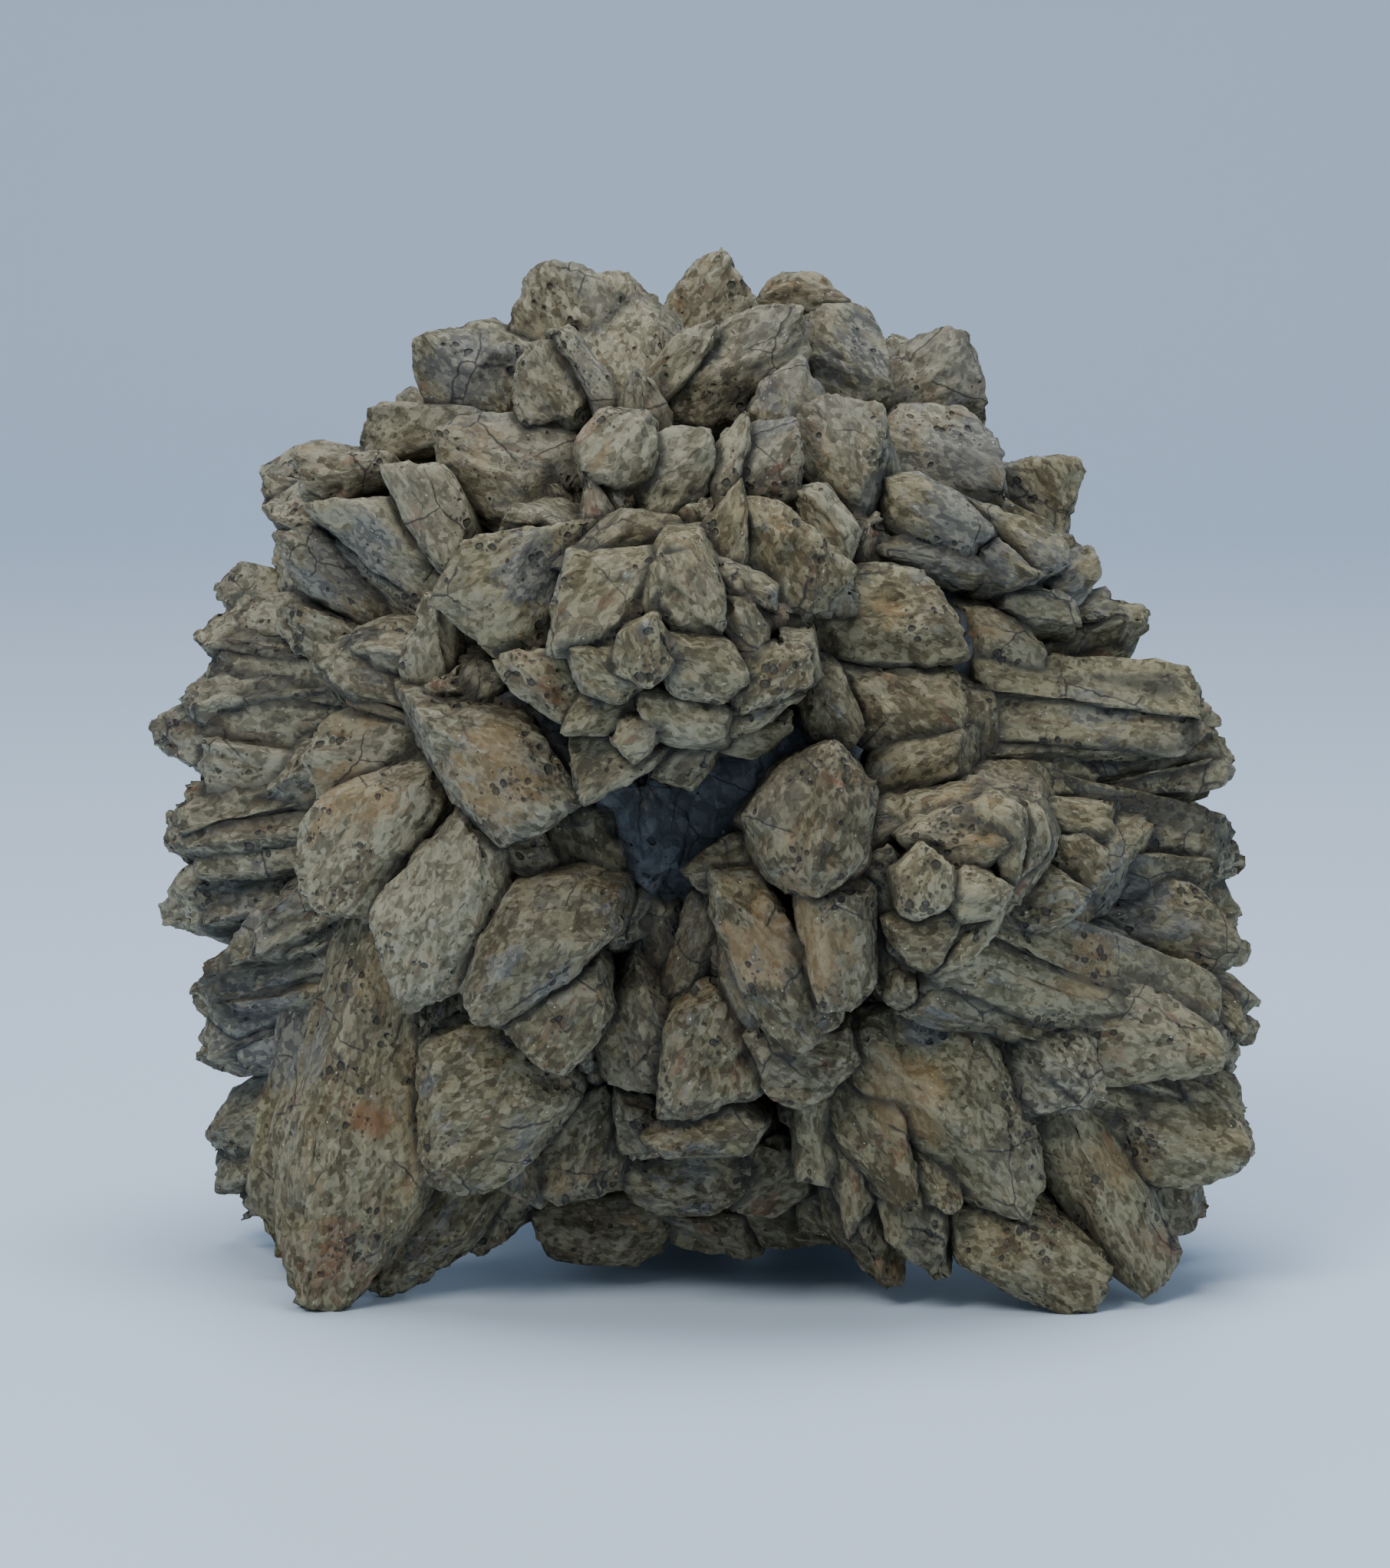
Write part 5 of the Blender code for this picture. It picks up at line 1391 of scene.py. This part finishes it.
def stoneMaterial(name, changes=None):
    look = dict(calciteLook, **(changes or {}))
    material = bpy.data.materials.new(name)
    material.use_nodes = True
    tree = material.node_tree
    shader = tree.nodes["Principled BSDF"]
    grain = warpOf(tree, attributeOf(tree, "grain"), *look["warp"])
    wear, crevice, deepShade, cool, cluster = (attributeOf(tree, field)
                                          for field in ("wear", "crevice", "deepShade", "cool", "cluster"))
    strokes = useGroup(tree, stoneStrokes, {"grain": grain, "width": look["strokeWidth"],
                                            "length": look["strokeLength"],
                                            "cloud": attributeOf(tree, "cloud"), "area": cluster})
    crystalTone = maths(tree, "MULTIPLY_ADD", attributeOf(tree, "tone"),
                        look["crystalTone"], -look["crystalTone"] / 2)
    tone = maths(tree, "ADD", strokes["tone"], crystalTone, clamp=True)
    ramp = addNode(tree, "ShaderNodeValToRGB", {"Fac": tone})
    elements = ramp.color_ramp.elements
    elements[0].color = (*look["dark"], 1.0)
    elements[0].position = look["darkEnd"]
    elements[1].color = (*look["light"], 1.0)
    elements[1].position = look["lightEnd"]
    elements.new(look["middlePlace"]).color = (*look["middle"], 1.0)
    colour = mixed(tree, ramp.outputs["Color"], look["streak"], strokes["streak"], look["streaks"])

    masks = {}
    for kind in patches:
        values = {"level": attributeOf(tree, kind), "fine": strokes["fine"]}
        masks[kind] = useGroup(tree, brokenPatch, values)["mask"]
        colour = mixed(tree, colour, look[kind], masks[kind], look[kind + "Share"])
    blackSpots = maths(tree, "GREATER_THAN", strokes["spot"], look["blackSpots"])
    colour = mixed(tree, colour, look["crustDark"], product(tree, masks["crust"], blackSpots),
                   look["blackShare"])
    colour = mixed(tree, colour, look["crust"], ramped(tree, cool, *look["coolArea"]), look["greyer"])
    colour = mixed(tree, colour, look["worn"], product(tree, wear, strokes["tone"]), look["wornShare"])
    colour = mixed(tree, colour, look["speck"], strokes["speck"], look["speckShare"])

    crowded = maths(tree, "ADD", cluster, look["pits"])
    pits, finePits = [
        useGroup(tree, stonePits, {"grain": grain, "spacing": spacing, "cluster": crowded})["mask"]
        for spacing in (look["pitSpacing"], look["pitSpacing"] * look["finePits"])]
    cracks = useGroup(tree, hairCracks, {"grain": grain, "size": look["crackSize"],
                                         "width": look["crackWidth"], "area": cool})["mask"]
    colour = mixed(tree, colour, look["dirtAndShade"], maths(tree, "MAXIMUM", pits, finePits), look["pitShare"])
    colour = mixed(tree, colour, look["dirtAndShade"], cracks, look["crackShare"])
    # painted shade and grime, darker towards the inside of the ball
    colour = mixed(tree, colour, look["deepShade"], deepShade, look["deepShadeShare"])
    # grime and painted shade in the seams between crystals
    fine = maths(tree, "MULTIPLY_ADD", strokes["fine"], look["dirtAndShadeFine"], -look["dirtAndShadeFine"] / 2)
    dirtAndShade = ramped(tree, maths(tree, "ADD", crevice, fine), *look["dirtAndShadeEdge"])
    colour = mixed(tree, colour, look["dirtAndShade"], dirtAndShade, look["dirtAndShadeShare"])
    tree.links.new(colour, shader.inputs["Base Color"])

    height = maths(tree, "MULTIPLY", strokes["relief"], look["reliefHeight"])
    height = maths(tree, "MULTIPLY_ADD", pits, look["pitHeight"], height)
    bump = addNode(tree, "ShaderNodeBump", {"Height": height, "Strength": look["bump"], "Distance": mm})
    tree.links.new(bump.outputs["Normal"], shader.inputs["Normal"])
    roughness = maths(tree, "MULTIPLY_ADD", strokes["tone"], look["smoother"], look["roughness"])
    tree.links.new(maths(tree, "MAXIMUM", roughness, crevice), shader.inputs["Roughness"])
    shader.inputs["Specular IOR Level"].default_value = look["specular"]
    return material


def addPiece(mesh):
    piece = bpy.data.objects.new(mesh.name, mesh)
    bpy.context.scene.collection.objects.link(piece)
    return piece


def handOver(piece):
    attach(piece, "root")
    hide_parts("crystal_cluster")


def settle(piece):
    # nothing goes through the surface that the feet stand on
    for vertex in piece.data.vertices:
        vertex.co.z = max(vertex.co.z, 0.0)
    piece.data.update()


def makeStone():
    front = [crown, brow, overhang, leftFlank, leftFoot, belowHollow, underside, rightFlank, rightFoot]
    seen = seenCrystals(front + [rearFeet, hollowSlate])
    everyone = seen + innerCrystals(seen) + unseenCrystals(seen)
    for crystal in everyone:
        faces = setOutlinedFaces(crystal) if crystal["outline"] else setFaces(crystal)
        crystal["normals"] = np.array([normal[:] for point, normal in faces])
        crystal["distances"] = np.array([normal.dot(point) for point, normal in faces])
    relief = stoneReliefTree()
    looks = {}
    for region in front:
        looks[region["piece"]] = stoneMaterial(region["piece"].replace("Crystals", "Stone"), region["look"])
    looks["innerCrystals"] = stoneMaterial("innerStone", inner["look"])
    looks["rearUpperCrystals"] = stoneMaterial("rearStone", unseen["look"])
    looks["hollowSlateCrystals"] = stoneMaterial("mudstone", heart["look"])
    looks["rearLowerCrystals"] = looks["rearUpperCrystals"]
    for name, material in looks.items():
        members = [crystal for crystal in everyone if crystal["piece"] == name]
        piece = addPiece(crystalMesh(name, members, everyone))
        settings = mudstoneRelief if name == "hollowSlateCrystals" else calciteRelief
        runTree(piece, relief, dict(settings, material=material))
        settle(piece)
        handOver(piece)
        print(name, len(members), "crystals,", len(piece.data.polygons) * 2, "triangles")
    lump = addPiece(heartMesh(everyone))
    runTree(lump, relief, dict(mudstoneRelief, material=looks["hollowSlateCrystals"]))
    handOver(lump)
    print(lump.name, len(lump.data.polygons), "triangles")


makeStone()

# The photograph's frame, the lights and the pale surroundings
studio = {
    "aimRight": -0.0008, "aimUp": 0.0028, "distance": 0.900, "frameHeight": 204.4,
    "floorColour": (0.70, 0.83, 1.0), "worldColour": (0.50, 0.60, 0.72), "worldStrength": 0.45,
    "floorDepth": 1.6, "floorWidth": 6.0, "bend": 0.5, "bendSteps": 12,
    "wallHeight": 2.4, "floorRoughness": 0.45, "floorSpecular": 0.25, "sensor": 36.0, "nearest": 0.01,
}
lights = {
    "keyLight": {"place": (-0.50, -0.85, 1.00), "size": 0.6, "power": 9.0, "colour": (1.0, 0.96, 0.88)},
    "fillLight": {"place": (0.85, -0.85, 0.45), "size": 0.9, "power": 2.6, "colour": (0.88, 0.94, 1.0)},
    "topLight": {"place": (0.05, 0.05, 1.15), "size": 0.8, "power": 10.3, "colour": (0.90, 0.95, 1.0)},
}


def addCamera():
    camera = bpy.data.objects.new("camera", bpy.data.cameras.new("camera"))
    bpy.context.scene.collection.objects.link(camera)
    aim = growthCentre + viewRight * studio["aimRight"] + viewUp * studio["aimUp"]
    camera.location = aim + viewReach * studio["distance"]
    camera.rotation_euler = (-viewReach).to_track_quat("-Z", "Y").to_euler()
    camera.data.sensor_width = studio["sensor"]
    camera.data.lens = studio["sensor"] * studio["distance"] / (studio["frameHeight"] * mm)
    camera.data.clip_start = studio["nearest"]
    bpy.context.scene.camera = camera


def addLight(name, setting):
    light = bpy.data.lights.new(name, "AREA")
    light.shape = "DISK"
    light.size = setting["size"]
    light.energy = setting["power"]
    light.color = setting["colour"]
    lamp = bpy.data.objects.new(name, light)
    lamp.location = setting["place"]
    lamp.rotation_euler = (growthCentre - lamp.location).to_track_quat("-Z", "Y").to_euler()
    bpy.context.scene.collection.objects.link(lamp)


def addSweep():
    # a floor that bends up into the wall behind, in one sheet
    near, bend = -studio["floorDepth"], studio["bend"]
    outline = [(near, 0.0), (studio["floorDepth"] - bend, 0.0)]
    for step in range(1, studio["bendSteps"] + 1):
        angle = math.pi / 2 * step / studio["bendSteps"]
        outline.append((studio["floorDepth"] - bend + bend * math.sin(angle), bend - bend * math.cos(angle)))
    outline.append((studio["floorDepth"], studio["wallHeight"]))
    half = studio["floorWidth"] / 2
    corners = [(side * half, y, z) for y, z in outline for side in (-1, 1)]
    faces = [(2 * row, 2 * row + 1, 2 * row + 3, 2 * row + 2) for row in range(len(outline) - 1)]
    mesh = bpy.data.meshes.new("paleSweep")
    mesh.from_pydata(corners, [], faces)
    mesh.polygons.foreach_set("use_smooth", [True] * len(faces))
    sweep = addPiece(mesh)
    paint = bpy.data.materials.new("palePaint")
    paint.use_nodes = True
    shader = paint.node_tree.nodes["Principled BSDF"]
    shader.inputs["Base Color"].default_value = (*studio["floorColour"], 1.0)
    shader.inputs["Roughness"].default_value = studio["floorRoughness"]
    shader.inputs["Specular IOR Level"].default_value = studio["floorSpecular"]
    mesh.materials.append(paint)


def addWorld():
    world = bpy.data.worlds.new("softDaylight")
    world.use_nodes = True
    background = world.node_tree.nodes["Background"]
    background.inputs["Color"].default_value = (*studio["worldColour"], 1.0)
    background.inputs["Strength"].default_value = studio["worldStrength"]
    bpy.context.scene.world = world


addCamera()
addSweep()
addWorld()
for lightName, lightSetting in lights.items():
    addLight(lightName, lightSetting)
print("camera, lights and surroundings set")
